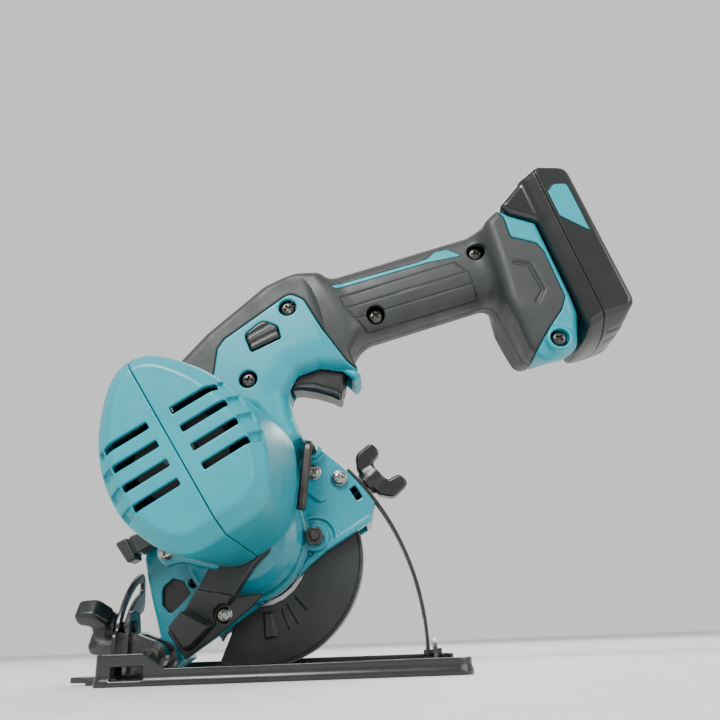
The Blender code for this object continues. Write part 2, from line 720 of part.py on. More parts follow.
def build_controls(saw):
    blade = rounded((
        (116.0, 78.5, 1), (115.6, 73.6, 1.5), (124.7, 66.4, 8), (133.0, 55.6, 1.5), (138.2, 61.1, 2),
        (145.6, 69.9, 2), (134.0, 80.0, 2), (122.0, 83.5, 2),
    ))
    piece(
        "trigger", "black_plastic", prism(blade, -7.8, 7.8, 1.6, 1.6), saw,
        origin=(126.0, 0.0, 72.0),
    )
    cap = turned([(0, -18.2), (4.2, -18.2), (5.2, -17.4), (5.2, -4.0), (0, -4.0)], LOCK_BUTTON, 18)
    piece("lock_off_button", "black_plastic", cap, saw, origin=(LOCK_BUTTON[0], -12.0, LOCK_BUTTON[1]))
    switch = box((123.0, -6.0, 88.5), (147.0, 8.0, 103.0))
    toggle = box((126.0, -2.0, 86.6), (132.0, 2.0, 89.5))
    piece("switch_module", "black_plastic", switch, saw, [toggle])
    block = box((228.0, -9.0, 92.0), (235.8, 9.0, 128.0))
    stalk = box((213.0, -6.0, 100.0), (229.0, 6.0, 118.0))
    piece("terminal_block", "black_plastic", in_handle(block), saw, [in_handle(stalk)])


# ---- drive train ----


def idler_centre():
    """Where the idler meshes with both the armature's pinion and the output gear."""
    first = (PINION_TEETH + IDLER_TEETH) * GEAR_MODULE / 2.0
    second = (PINION_TEETH + OUTPUT_TEETH) * GEAR_MODULE / 2.0
    motor = Vector(MOTOR)
    spindle = Vector(SPINDLE)
    line = spindle - motor
    along = (first ** 2 - second ** 2 + line.length ** 2) / (2.0 * line.length)
    aside = math.sqrt(max(first ** 2 - along ** 2, 0.0))
    direction = line.normalized()
    point = motor + direction * along + Vector((-direction.y, direction.x)) * aside
    return (point.x, point.y)


def angle_to(start, end):
    return math.atan2(end[1] - start[1], end[0] - start[0])


def build_drive(saw):
    idler = idler_centre()
    at_spindle = (SPINDLE[0], 0.0, SPINDLE[1])
    at_motor = (MOTOR[0], 0.0, MOTOR[1])
    at_idler = (idler[0], 0.0, idler[1])

    shaft = turned([
        (0, 0.1), (3.0, 0.1), (3.0, 6.2), (6.0, 6.2), (6.0, 16.8), (7.4, 17.0), (7.4, 17.6),
        (5.0, 17.6), (5.0, 27.6), (0, 27.6),
    ], SPINDLE, 20)
    piece("spindle", "bright_steel", shaft, saw, (), [rod(2.3, 18, 30, SPINDLE, 12)], at_spindle)
    gap_phase = angle_to(SPINDLE, idler) + math.pi / OUTPUT_TEETH
    wheel = prism(gear_outline(SPINDLE, OUTPUT_TEETH, gap_phase), 0.6, 5.2)
    piece("output_gear", "motor_steel", wheel, saw, (), [rod(3.2, -2, 8, SPINDLE)], at_spindle)
    flange = [(5.3, 18.0), (14, 18.0), (14, 23.2), (11, 23.2), (11, 22.2), (5.3, 22.2)]
    piece("inner_flange", "motor_steel", turned(flange, SPINDLE, 24), saw, origin=at_spindle)
    teeth = []
    for i in range(BLADE_TEETH):
        base = 360.0 * i / BLADE_TEETH
        for turn, radius in ((0, 37.8), (13.5, BLADE_R), (14.2, 37.6)):
            angle = math.radians(base + turn)
            teeth.append((SPINDLE[0] + radius * math.cos(angle), SPINDLE[1] + radius * math.sin(angle)))
    disc = prism(teeth, BLADE_Y - BLADE_T / 2, BLADE_Y + BLADE_T / 2)
    piece("blade", "bright_steel", disc, saw, (), [rod(5.3, 20, 30, SPINDLE)], at_spindle)
    clamp = [(5.3, 24.8), (14, 24.8), (14, 26.2), (11, 27.8), (5.3, 27.8)]
    piece("outer_flange", "motor_steel", turned(clamp, SPINDLE, 24), saw, origin=at_spindle)
    bolt = turned([
        (0, 19.5), (2.0, 19.5), (2.0, 28.1), (8.0, 28.1), (8.0, 29.2), (5.0, 29.2), (5.0, 33.4), (0, 33.4),
    ], SPINDLE, 18)
    socket = prism(circle(SPINDLE, 2.9, 6), 30.4, 36)
    piece("blade_bolt", "tool_steel", bolt, saw, (), [socket], at_spindle)

    big_phase = angle_to(idler, MOTOR) + math.pi / IDLER_TEETH
    small_phase = angle_to(idler, SPINDLE)
    big = prism(gear_outline(idler, IDLER_TEETH, big_phase), -4.4, -0.4)
    small = prism(gear_outline(idler, PINION_TEETH, small_phase, 0.8, 0.9, 1.1), -0.6, 5.4)
    piece("idler_gear", "motor_steel", big, saw, [small], [rod(1.8, -10, 10, idler)], at_idler)
    piece("idler_shaft", "bright_steel", rod(1.5, -4.9, 8.8, idler, 12), saw)

    pinion = gear_outline(MOTOR, PINION_TEETH, angle_to(MOTOR, idler), 0.8, 0.9, 1.1)
    arbor = turned([
        (0, -80.0), (2.5, -80.0), (2.5, -14.4), (2.6, -6.5), (2.6, -0.2), (0, -0.2),
    ], MOTOR, 16)
    piece("armature_shaft", "bright_steel", arbor, saw, [prism(pinion, -5.0, 0.4)], (), at_motor)
    stack = turned([(2.8, -64.0), (13.0, -64.0), (13.0, -30.0), (2.8, -30.0)], MOTOR, 24)
    slots = []
    for i in range(5):
        angle = math.radians(72.0 * i + 20.0)
        mid = (MOTOR[0] + 12.0 * math.cos(angle), MOTOR[1] + 12.0 * math.sin(angle))
        slots.append(rod(1.6, -70, -20, mid, 8))
    piece("armature_core", "lamination", stack, saw, (), slots, at_motor)
    bars = turned([(2.8, -73.5), (6.5, -73.5), (6.5, -65.0), (2.8, -65.0)], MOTOR, 20)
    piece("commutator", "copper", bars, saw, origin=at_motor)
    hub = turned([(2.8, -27.0), (9.0, -27.0), (16.5, -22.6), (16.5, -21.4), (2.8, -21.4)], MOTOR, 24)
    vanes = []
    for i in range(7):
        vane = box((7.0, -0.6, 0.0), (16.0, 0.6, 4.0))
        vane.transform(Matrix.Rotation(math.radians(-90.0), 4, "X"))
        vane.transform(Matrix.Rotation(2.0 * math.pi * i / 7, 4, "Y"))
        vanes.append(moved(vane, (MOTOR[0], -21.8, MOTOR[1])))
    piece("cooling_fan", "black_plastic", hub, saw, vanes, (), at_motor)


def build_supports(saw):
    retainer = turned([
        (14.4, 8.6), (15.2, 8.6), (15.2, 10.0), (20.0, 10.0), (20.0, 16.8), (9.0, 16.8), (9.0, 15.8),
        (14.4, 15.8),
    ], SPINDLE, 28)
    piece("bearing_retainer", "motor_steel", retainer, saw)
    piece("spindle_bearing", "bright_steel", ring(6.3, 14.1, 8.6, 15.5, SPINDLE), saw)
    piece("motor_front_bearing", "bright_steel", ring(2.9, 8.0, -17.2, -12.6, MOTOR, 16), saw)
    piece("motor_rear_bearing", "bright_steel", ring(2.9, 6.5, -79.8, -75.0, MOTOR, 16), saw)
    can = turned([
        (14.2, -67.6), (18.6, -67.6), (18.6, -29.4), (14.2, -29.4),
    ], MOTOR, 28)
    piece("motor_can", "motor_steel", can, saw)
    plate = ring(7.2, 19.0, -74.0, -68.4, MOTOR, 24)
    piece("brush_holder", "black_plastic", plate, saw)


# ---- lower guard and its spring ----


def build_guard(saw):
    at_spindle = (SPINDLE[0], 0.0, SPINDLE[1])
    start = 217.0
    end = 385.0
    rim_in = GUARD_R - 1.5
    near = GUARD_NEAR_Y
    plate = prism(circle(SPINDLE, GUARD_R, 48), near, GUARD_FAR_Y, 0.8, 0.8, 1)
    room = rod(rim_in, near + 1.4, GUARD_FAR_Y - 1.4, SPINDLE, 48)
    far_hole = rod(26.0, GUARD_FAR_Y - 4, GUARD_FAR_Y + 2, SPINDLE, 24)
    near_hole = rod(20.6, near - 2, near + 4, SPINDLE, 24)
    reach = 80.0
    open_sector = [SPINDLE] + arc(SPINDLE, reach, end - 360.0, start, 4)
    ring_keep = rod(24.2, near, near + 1.4, SPINDLE, 24)
    lug = prism(arc(SPINDLE, 37.5, 243, 251, 2) + arc(SPINDLE, 26.0, 251, 243, 2), near - 1.4, near + 0.7)
    piece(
        "lower_guard", "guard_plastic", plate, saw, (),
        [room, far_hole, prism(open_sector, -5, 60)], at_spindle,
        [("UNION", ring_keep), ("UNION", lug), ("DIFFERENCE", near_hole)],
    )
    coil = turned([(20.8, 12.9), (22.8, 12.9), (22.8, 14.7), (20.8, 14.7)], SPINDLE, 24)
    piece("guard_spring", "bright_steel", coil, saw)


# ---- battery ----


def build_battery(saw):
    corners = (
        (BATTERY_FACE, 76.0, 3), (BATTERY_FACE, 142.4, 0), (227.4, 150.4, 1), (223.6, 156.6, 2),
        (240.0, 168.0, 3), (250.0, 170.5, 4), (BATTERY_BACK, 165.0, 5), (BATTERY_BACK, 84.0, 6),
        (256.0, 74.5, 4), (246.0, 72.5, 3),
    )
    inner = shrunk(corners, 2.0)
    tub_cut = 246.0
    rail = box((229.5, -13.0, 86.0), (BATTERY_FACE + 1, 13.0, 141.0))
    channel = box((220.0, -10.0, 80.0), (236.4, 10.0, 150.0))
    button_room = ((240.0, -9.6, 160.0), (256.0, 9.6, 185.0))
    half = BATTERY_HALF
    cover_keep = box((tub_cut, -50, 0), (300, 50, 300))
    cover = cushion(corners, -half, half, 4.5)
    piece(
        "battery_cover", "black_plastic", in_handle(cover), saw, [in_handle(rail)],
        [
            in_handle(cushion(inner, -half + 2, half - 2, 3.6)), in_handle(cover_keep),
            in_handle(channel), in_handle(box(*button_room)),
        ],
    )
    tub_keep = box((200, -50, 0), (tub_cut + GAP, 50, 300))
    tub = cushion(corners, -half, half, 4.5)
    piece(
        "battery_tub", "black_plastic", in_handle(tub), saw, (),
        [
            in_handle(cushion(inner, -half + 2, half - 2, 3.6)), in_handle(tub_keep),
            in_handle(box(*button_room)),
        ],
    )
    cells = []
    for number in range(3):
        cell = turned([(0, 84.0), (8.9, 84.0), (8.9, 149.0), (0, 149.0)], steps=18, axis=(0, 0, 1))
        cells.append(in_handle(moved(cell, (251.6, -19.0 + 19.0 * number, 0.0))))
    straps = [in_handle(box((248.0, -25.0, low), (255.0, 25.0, low + 1.0))) for low in (83.4, 148.6)]
    piece("battery_cells", "cell_wrap", cells[0], saw, cells[1:] + straps)
    button = box((241.0, -9.0, 163.0), (253.5, 9.0, 171.5))
    piece("battery_button", "black_plastic", in_handle(button), saw)


# ---- duct, levers, wrench and fasteners ----


def build_outside(saw):
    duct = rounded((
        (63.0, 13.9, 0), (63.3, 10.8, 1), (42.0, 4.6, 5), (26.0, -1.0, 5), (13.8, -4.7, 1),
        (11.5, 6.2, 1), (20.2, 9.6, 4), (29.2, 13.5, 4), (41.9, 20.2, 2), (50.0, 16.0, 0), (56.0, 14.2, 0),
    ))
    flange = rounded((
        (53.0, -3.4, 1), (50.0, -6.0, 1), (24.0, -5.4, 2), (10.0, -6.2, 1), (14.0, 2.0, 0), (42.0, 9.0, 0),
    ))
    throat = rounded((
        (60.0, 12.4, 0), (42.0, 6.8, 5), (26.0, 1.2, 5), (9.0, -3.6, 0), (8.0, 3.4, 0), (20.2, 7.6, 4),
        (30.2, 11.6, 3), (42.0, 17.6, 0), (50.0, 13.6, 0),
    ))
    shape = prism(duct, DUCT_NEAR_Y, DUCT_FAR_Y, 1.5, 0.0, 1)
    cuts = [prism(throat, DUCT_NEAR_Y + 1.6, DUCT_FAR_Y - 1.6), rod(1.9, -20, -5, DUCT_SCREW, 10)]
    lip = prism(flange, DUCT_FLANGE_Y, DUCT_FAR_Y)
    piece("blower_duct", "black_plastic", shape, saw, [lip], cuts)
    lever = rounded(((5.8, 54.0, 1.5), (6.6, 44.6, 1.5), (12.0, 44.4, 1.5), (12.6, 47.0, 1), (21.0, 46.4, 1),
                     (21.0, 52.6, 1), (12.0, 54.4, 1)))
    stem = rod_x(1.8, 19.0, 33.0, 2.0, 49.5, 12)
    piece("shaft_lock", "black_plastic", prism(lever, -2.5, 6.5, 1, 1, 1), saw, [stem], (), (6.0, 2.0, 49.5))

    bend = WRENCH_BEND
    tip = (87.7, 19.7)
    direction = (Vector(tip) - Vector(bend)).normalized()
    long_arm = prism(circle(bend, 2.6, 6), -8.0, 40.0)
    arm = turned([(0, -0.5), (2.6, -0.5), (2.6, 33.2), (0, 33.2)], steps=6, axis=(direction.x, 0, direction.y))
    moved(arm, (bend[0], -8.0, bend[1]))
    corner = bmesh.new()
    bmesh.ops.create_icosphere(corner, subdivisions=2, radius=2.9)
    moved(corner, (bend[0], -8.0, bend[1]))
    piece("hex_wrench", "tool_steel", corner, saw, [long_arm, arm], (), (bend[0], -8.0, bend[1]))


def pan_screw(centre, seat, head_r, shank_r, head_h=2.4, length=6.0):
    """A pan-head screw whose head faces the near side."""
    return turned([
        (0, seat - head_h), (head_r * 0.7, seat - head_h), (head_r, seat - head_h * 0.45), (head_r, seat),
        (shank_r, seat), (shank_r, seat + length), (0, seat + length),
    ], centre, 10)


def build_fasteners(saw):
    for number, centre in enumerate(CASE_SCREWS):
        shape = pan_screw(centre, CASE_NEAR_Y - GAP, 3.7, 1.6, length=4.0)
        piece(f"case_screw_{number + 1}", "zinc_screw", shape, saw)
    shape = pan_screw(DUCT_SCREW, DUCT_FLANGE_Y - GAP, 3.6, 1.5, length=6.0)
    piece("duct_screw", "zinc_screw", shape, saw)
    for number, (u, w, seat, _far_end) in enumerate(HANDLE_SCREWS):
        shape = pan_screw((u, w), seat, 3.3, 1.3, length=9.0)
        piece(f"handle_screw_{number + 1}", "black_screw", shape, saw)
    nut = prism(circle(STUD_NUT, 4.6, 6), 4.2, CASE_NEAR_Y - GAP)
    core = rod(2.0, 2.6, 13.6, STUD_NUT, 14)
    piece("case_stud_nut", "black_screw", nut, saw, [core])


def main():
    clear_scene()
    base = frame_empty("base_frame", (0.0, 0.0, 0.0))
    tilt = frame_empty("tilt_frame", (0.0, 0.0, 0.0), base)
    saw = frame_empty("saw_frame", (PIVOT_X, 0.0, PIVOT_Z), tilt, -DEPTH_ANGLE)
    build_base(base)
    build_tilt_frame(tilt)
    build_knobs(tilt, saw)
    build_case(saw)
    build_gear_housing(saw)
    build_motor_pod(saw)
    build_handle(saw)
    build_controls(saw)
    build_drive(saw)
    build_supports(saw)
    build_guard(saw)
    build_battery(saw)
    build_outside(saw)
    build_fasteners(saw)


main()
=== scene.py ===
"""Looks of a compact cordless circular saw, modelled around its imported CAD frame.

Moulded pieces are described by signed distances in millimetres, negative inside, and meshed by a
surface net. The saw's own frame has its origin on the front depth pivot: u runs to the rear along
the blade case, y to the blade side and w up from it. The handle's frame (h, y, k) is turned down
from it. Pieces are made in either frame, or in the row frame, and scaled to metres.
"""

import json
import math

import bmesh
import bpy
import numpy as np
from mathutils import Matrix, Vector


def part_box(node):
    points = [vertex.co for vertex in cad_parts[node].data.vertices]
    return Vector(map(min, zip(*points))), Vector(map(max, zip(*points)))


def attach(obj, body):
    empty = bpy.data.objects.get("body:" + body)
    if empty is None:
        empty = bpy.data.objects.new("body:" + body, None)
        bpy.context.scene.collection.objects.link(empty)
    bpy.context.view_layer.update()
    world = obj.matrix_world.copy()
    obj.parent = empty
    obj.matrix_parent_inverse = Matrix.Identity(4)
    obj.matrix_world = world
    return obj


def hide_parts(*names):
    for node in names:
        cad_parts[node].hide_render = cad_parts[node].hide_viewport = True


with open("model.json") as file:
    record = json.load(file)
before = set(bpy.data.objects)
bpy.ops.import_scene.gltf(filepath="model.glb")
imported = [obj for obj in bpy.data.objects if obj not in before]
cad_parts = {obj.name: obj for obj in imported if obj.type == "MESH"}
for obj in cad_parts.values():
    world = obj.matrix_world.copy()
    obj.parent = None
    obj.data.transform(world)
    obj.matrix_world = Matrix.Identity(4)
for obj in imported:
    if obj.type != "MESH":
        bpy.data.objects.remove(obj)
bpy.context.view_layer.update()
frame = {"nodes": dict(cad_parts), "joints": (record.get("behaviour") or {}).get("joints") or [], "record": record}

MM = 0.001
JOINTS = {joint["name"]: joint for joint in frame["joints"]}
PIVOT = Vector(JOINTS["depth_swing"]["pos_m"])
SAW_TURN = math.radians(JOINTS["depth_swing"]["range_deg"][1])
HANDLE_TURN = math.radians(15.0)
ROW = Matrix.Identity(4)
SAW = Matrix.Translation(PIVOT) @ Matrix.Rotation(-SAW_TURN, 4, "Y")
HANDLE = SAW @ Matrix.Rotation(HANDLE_TURN, 4, "Y")


def in_saw(point):
    """A row-frame point in metres as (u, y, w) in millimetres."""
    return SAW.inverted() @ Vector(point) / MM


def centre_of(joint):
    place = in_saw(JOINTS[joint]["pos_m"])
    return place.x, place.z


SPINDLE = centre_of("spindle_spin")
MOTOR = centre_of("armature_spin")
CASE_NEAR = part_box("blade_case")[0].y / MM
CASE_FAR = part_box("blade_case")[1].y / MM
POD_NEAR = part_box("motor_housing_front")[0].y / MM
POD_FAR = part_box("motor_housing_front")[1].y / MM
GUARD_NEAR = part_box("guard_spring")[1].y / MM + 0.5
GUARD_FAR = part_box("lower_guard")[1].y / MM
BATTERY_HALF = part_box("battery_cover")[1].y / MM
FOOT_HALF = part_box("handle_shell_right")[1].y / MM
BLADE_Y = (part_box("blade")[0].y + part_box("blade")[1].y) / 2 / MM
SOLE_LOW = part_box("base_plate")[0] / MM
SOLE_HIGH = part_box("base_plate")[1] / MM
TILT = (Vector(JOINTS["bevel_tilt"]["pos_m"]) / MM).yz
BEVEL_KNOB_LEAN = math.radians(-35.0)
GAP = 0.15
WALL = 2.3


# ---- distances ----


def larger(a, b, blend=0.0):
    """Keeps what is inside both, with the edge between them rounded over a width."""
    if blend <= 0.0:
        return np.maximum(a, b)
    overlap = np.maximum(blend - np.abs(a - b), 0.0)
    return np.maximum(a, b) + overlap ** 2 / (4.0 * blend)


def joined(a, b, blend=0.0):
    return -larger(-a, -b, blend)


def without(a, b, blend=0.0):
    return larger(a, -b, blend)


def outline_distance(x, z, points):
    """Signed distance in a plane from a closed outline."""
    nearest = 1e9
    inside = False
    for (ax, az), (bx, bz) in zip(points, points[1:] + points[:1]):
        ex, ez = bx - ax, bz - az
        px, pz = x - ax, z - az
        share = np.clip((px * ex + pz * ez) / (ex * ex + ez * ez), 0.0, 1.0)
        nearest = np.minimum(nearest, (px - ex * share) ** 2 + (pz - ez * share) ** 2)
        if ez != 0.0:
            inside = inside ^ (((az > z) != (bz > z)) & (px < ex * pz / ez))
    return np.where(inside, -1.0, 1.0) * np.sqrt(nearest)


def line_distance(x, z, points):
    """Distance in a plane from an open chain of lines."""
    nearest = 1e9
    for (ax, az), (bx, bz) in zip(points, points[1:]):
        ex, ez = bx - ax, bz - az
        px, pz = x - ax, z - az
        share = np.clip((px * ex + pz * ez) / (ex * ex + ez * ez), 0.0, 1.0)
        nearest = np.minimum(nearest, np.hypot(px - ex * share, pz - ez * share))
    return nearest


def rounded(corners, steps=5):
    """An outline from (x, z, radius) corners."""
    points = []
    count = len(corners)
    for i, (x, z, radius) in enumerate(corners):
        here = Vector((x, z))
        before = Vector(corners[i - 1][:2]) - here
        after = Vector(corners[(i + 1) % count][:2]) - here
        if radius <= 0.0:
            points.append((x, z))
            continue
        half = before.angle(after) / 2.0
        reach = min(radius / math.tan(half), 0.49 * before.length, 0.49 * after.length)
        start = here + before.normalized() * reach
        end = here + after.normalized() * reach
        for k in range(steps + 1):
            t = k / steps
            point = start * (1 - t) ** 2 + here * 2 * t * (1 - t) + end * t * t
            points.append((point.x, point.y))
    return points


def arc(centre, radius, start, end, steps=16):
    points = []
    for i in range(steps + 1):
        angle = math.radians(start + (end - start) * i / steps)
        points.append((centre[0] + radius * math.cos(angle), centre[1] + radius * math.sin(angle)))
    return points


def block(flat, y, low, high, edge):
    """A plane distance made solid between two depths, with its edges rounded."""
    a = flat + edge
    b = np.abs(y - (low + high) / 2.0) - (high - low) / 2.0 + edge
    return np.minimum(np.maximum(a, b), 0.0) + np.hypot(np.maximum(a, 0), np.maximum(b, 0)) - edge


def rod(u, w, centre, radius):
    return np.hypot(u - centre[0], w - centre[1]) - radius


def bar(u, w, low, high):
    """Signed distance from an upright rectangle in a plane."""
    a = np.abs(u - (low[0] + high[0]) / 2.0) - (high[0] - low[0]) / 2.0
    b = np.abs(w - (low[1] + high[1]) / 2.0) - (high[1] - low[1]) / 2.0
    return np.minimum(np.maximum(a, b), 0.0) + np.hypot(np.maximum(a, 0), np.maximum(b, 0))


def turned(u, y, w, centre, profile):
    """A (radius, y) profile turned about a line across the saw."""
    return outline_distance(np.hypot(u - centre[0], w - centre[1]), y, profile)


def to_handle(u, w):
    c, s = math.cos(HANDLE_TURN), math.sin(HANDLE_TURN)
    return u * c - w * s, u * s + w * c


def from_handle(h, k):
    c, s = math.cos(HANDLE_TURN), math.sin(HANDLE_TURN)
    return h * c + k * s, -h * s + k * c


# ---- meshes ----


def surface_net(values, low, step):
    """Points and four-sided faces of the surface where the values change sign."""
    inside = values < 0.0
    corners = [(i, j, k) for i in (0, 1) for j in (0, 1) for k in (0, 1)]
    size = values.shape
    count = np.zeros([n - 1 for n in size], np.int8)
    for corner in corners:
        count += inside[tuple(slice(c, n - 1 + c) for c, n in zip(corner, size))]
    active = (count > 0) & (count < 8)
    cells = np.argwhere(active)
    number = np.full(active.shape, -1, np.int64)
    number[active] = np.arange(len(cells))
    at = {corner: values[tuple((cells + corner).T)] for corner in corners}
    total = np.zeros((len(cells), 3))
    hits = np.zeros(len(cells))
    for first in corners:
        for axis in range(3):
            if first[axis]:
                continue
            second = tuple(1 if n == axis else c for n, c in enumerate(first))
            crosses = (at[first] < 0.0) != (at[second] < 0.0)
            change = np.where(crosses, at[first] - at[second], 1.0)
            share = np.where(crosses, at[first] / change, 0.0)
            point = np.tile(np.array(first, float), (len(cells), 1))
            point[:, axis] += share
            total += point * crosses[:, None]
            hits += crosses
    points = np.array(low) + step * (cells + total / hits[:, None])
    faces = []
    units = np.eye(3, dtype=int)
    for axis in range(3):
        side, other = units[(axis + 1) % 3], units[(axis + 2) % 3]
        change = np.diff(inside.astype(np.int8), axis=axis)
        edges = np.argwhere(change)
        entering = change[tuple(edges.T)] > 0
        ring = [edges - side - other, edges - other, edges, edges - side]
        quads = np.stack([number[tuple(place.T)] for place in ring], axis=1)
        quads[entering] = quads[entering][:, ::-1]
        faces.append(quads)
    return points, np.concatenate(faces)


def slope(field, points, reach):
    """The field's gradient at points."""
    columns = []
    for axis in range(3):
        shift = np.zeros(3)
        shift[axis] = reach
        ahead, behind = (points + shift).T, (points - shift).T
        columns.append((field(*ahead) - field(*behind)) / (2.0 * reach))
    return np.stack(columns, axis=1)


def settled(field, points, step):
    """Moves points on to the surface."""
    gradient = slope(field, points, 0.05)
    length = np.maximum((gradient ** 2).sum(axis=1), 0.05)
    shift = gradient * (field(*points.T) / length)[:, None]
    size = np.linalg.norm(shift, axis=1, keepdims=True)
    return points - shift * np.minimum(1.0, 0.5 * step / np.maximum(size, 1e-9))


def new_object(name, points, faces, place, finish):
    """An object from points in millimetres of a frame."""
    turn = np.array(place.to_3x3())
    points = np.array(points, float) @ turn.T * MM + np.array(place.translation)
    data = bpy.data.meshes.new(name)
    data.from_pydata(points.tolist(), [], [list(map(int, face)) for face in faces])
    data.update()
    data.shade_smooth()
    made = bpy.data.objects.new(name, data)
    bpy.context.scene.collection.objects.link(made)
    made.data.materials.append(finish)
    return made


def evaluated_mesh(made):
    graph = bpy.context.evaluated_depsgraph_get()
    return bpy.data.meshes.new_from_object(made.evaluated_get(graph))


def belongs(made, body, nodes=()):
    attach(made, body)
    if nodes:
        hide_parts(*nodes)
    return made


def mould(name, field, low, high, step, place, look, body, nodes=(), keep=0.35, sharp=0.12):
    """A moulded piece from a field of (x, y, z) in millimetres of a frame."""
    axes = [np.arange(a - 1.5 * step, b + 2.5 * step, step) for a, b in zip(low, high)]
    grid = (axes[0][:, None, None], axes[1][None, :, None], axes[2][None, None, :])
    shape = tuple(len(axis) for axis in axes)
    values = np.broadcast_to(field(*grid), shape).astype(np.float32)
    edge = np.ones(shape, bool)
    edge[1:-1, 1:-1, 1:-1] = False
    values = np.where(edge, np.maximum(values, 0.01), values)
    points, faces = surface_net(values, [axis[0] for axis in axes], step)
    points = settled(field, settled(field, points, step), step)
    made = new_object(name, points, faces, place, LOOKS[look])
    if keep < 1.0:
        thin = made.modifiers.new("thin", "DECIMATE")
        thin.ratio = keep
        bpy.context.view_layer.update()
        data = evaluated_mesh(made)
        made.modifiers.clear()
        old = made.data
        made.data = data
        bpy.data.meshes.remove(old)
    turn = np.array(place.to_3x3())
    raw = np.array([vertex.co for vertex in made.data.vertices])
    local = (raw - np.array(place.translation)) @ turn / MM
    normals = slope(field, local, sharp)
    normals /= np.maximum(np.linalg.norm(normals, axis=1, keepdims=True), 1e-9)
    made.data.shade_smooth()
    made.data.normals_split_custom_set_from_vertices(normals @ turn.T)
    return belongs(made, body, nodes)


def solid(name, bm, place, look, body, nodes=(), bevel=0.3, segments=2):
    """A piece from a bmesh in millimetres of a frame, with its sharp edges softened."""
    bmesh.ops.recalc_face_normals(bm, faces=bm.faces)
    bm.transform(place @ Matrix.Scale(MM, 4))
    data = bpy.data.meshes.new(name)
    bm.to_mesh(data)
    bm.free()
    data.shade_smooth()
    made = bpy.data.objects.new(name, data)
    bpy.context.scene.collection.objects.link(made)
    made.data.materials.append(LOOKS[look])
    soften(made, bevel, segments)
    return belongs(made, body, nodes)


def soften(made, width, segments=2):
    bevel = made.modifiers.new("soften", "BEVEL")
    bevel.width = width * MM
    bevel.segments = segments
    bevel.limit_method = "ANGLE"
    bevel.angle_limit = math.radians(34.0)
    bevel.harden_normals = True
    bevel.use_clamp_overlap = True


def loft(rings, closed=False):
    bm = bmesh.new()
    rows = [[bm.verts.new(point) for point in ring] for ring in rings]
    count = len(rows[0])
    pairs = list(zip(rows, rows[1:])) + ([(rows[-1], rows[0])] if closed else [])
    for first, second in pairs:
        for i in range(count):
            j = (i + 1) % count
            bm.faces.new((first[i], first[j], second[j], second[i]))
    if not closed:
        bm.faces.new(list(reversed(rows[0])))
        bm.faces.new(rows[-1])
    return bm


# ---- materials ----


def node(tree, kind, **values):
    made = tree.nodes.new(kind)
    for key, value in values.items():
        setattr(made, key, value)
    return made


def noise(tree, coords, scale, detail=4.0):
    made = node(tree, "ShaderNodeTexNoise")
    made.inputs["Scale"].default_value = scale
    made.inputs["Detail"].default_value = detail
    tree.links.new(coords, made.inputs["Vector"])
    return made.outputs["Fac"]


def spread(tree, value, low, high, out_low, out_high):
    made = node(tree, "ShaderNodeMapRange")
    for name, number in zip(("From Min", "From Max", "To Min", "To Max"), (low, high, out_low, out_high)):
        made.inputs[name].default_value = number
    tree.links.new(value, made.inputs["Value"])
    return made.outputs["Result"]


def mixed(tree, share, first, second):
    """Mixes two colours, given as values or sockets."""
    made = node(tree, "ShaderNodeMix", data_type="RGBA")
    tree.links.new(share, made.inputs["Factor"])
    for socket, colour in ((made.inputs[6], first), (made.inputs[7], second)):
        if isinstance(colour, tuple):
            socket.default_value = (*colour, 1.0)
        else:
            tree.links.new(colour, socket)
    return made.outputs[2]


def look(name, colour, rough, metal=0.0, grain=1500.0, depth=0.02, tone=0.12, scuff=0.0,
         scuff_colour=(0.5, 0.5, 0.5), coat=0.0, cells=False, dust=0.0):
    """A finish with colour drift, uneven gloss, a fine grain, scuffed edges and a little dust."""
    made = bpy.data.materials.new(name)
    made.use_nodes = True
    tree = made.node_tree
    shader = tree.nodes["Principled BSDF"]
    coords = node(tree, "ShaderNodeTexCoord").outputs["Object"]
    drift = noise(tree, coords, 38.0)
    dark = tuple(channel * (1.0 - tone) for channel in colour)
    light = tuple(min(1.0, channel * (1.0 + tone)) for channel in colour)
    tint = mixed(tree, spread(tree, drift, 0.35, 0.65, 0.0, 1.0), dark, light)
    if dust > 0.0:
        specks = noise(tree, coords, 420.0, 8.0)
        tint = mixed(tree, spread(tree, specks, 0.64, 0.8, 0.0, dust), tint, (0.4, 0.4, 0.38))
    if scuff > 0.0:
        edges = node(tree, "ShaderNodeNewGeometry").outputs["Pointiness"]
        worn = spread(tree, edges, 0.53, 0.6, 0.0, 1.0)
        patchy = spread(tree, noise(tree, coords, 260.0, 6.0), 0.48, 0.62, 0.0, scuff)
        both = node(tree, "ShaderNodeMath", operation="MULTIPLY")
        tree.links.new(worn, both.inputs[0])
        tree.links.new(patchy, both.inputs[1])
        tint = mixed(tree, both.outputs[0], tint, scuff_colour)
    tree.links.new(tint, shader.inputs["Base Color"])
    gloss = noise(tree, coords, 95.0, 6.0)
    tree.links.new(spread(tree, gloss, 0.3, 0.7, rough * 0.8, rough * 1.2), shader.inputs["Roughness"])
    shader.inputs["Metallic"].default_value = metal
    shader.inputs["Coat Weight"].default_value = coat
    shader.inputs["Coat Roughness"].default_value = 0.12
    bump = node(tree, "ShaderNodeBump")
    bump.inputs["Strength"].default_value = 0.5
    bump.inputs["Distance"].default_value = depth * MM
    if cells:
        texture = node(tree, "ShaderNodeTexVoronoi")
        texture.inputs["Scale"].default_value = grain
        tree.links.new(coords, texture.inputs["Vector"])
        tree.links.new(texture.outputs["Distance"], bump.inputs["Height"])
    else:
        tree.links.new(noise(tree, coords, grain, 3.0), bump.inputs["Height"])
    tree.links.new(bump.outputs["Normal"], shader.inputs["Normal"])
    return made


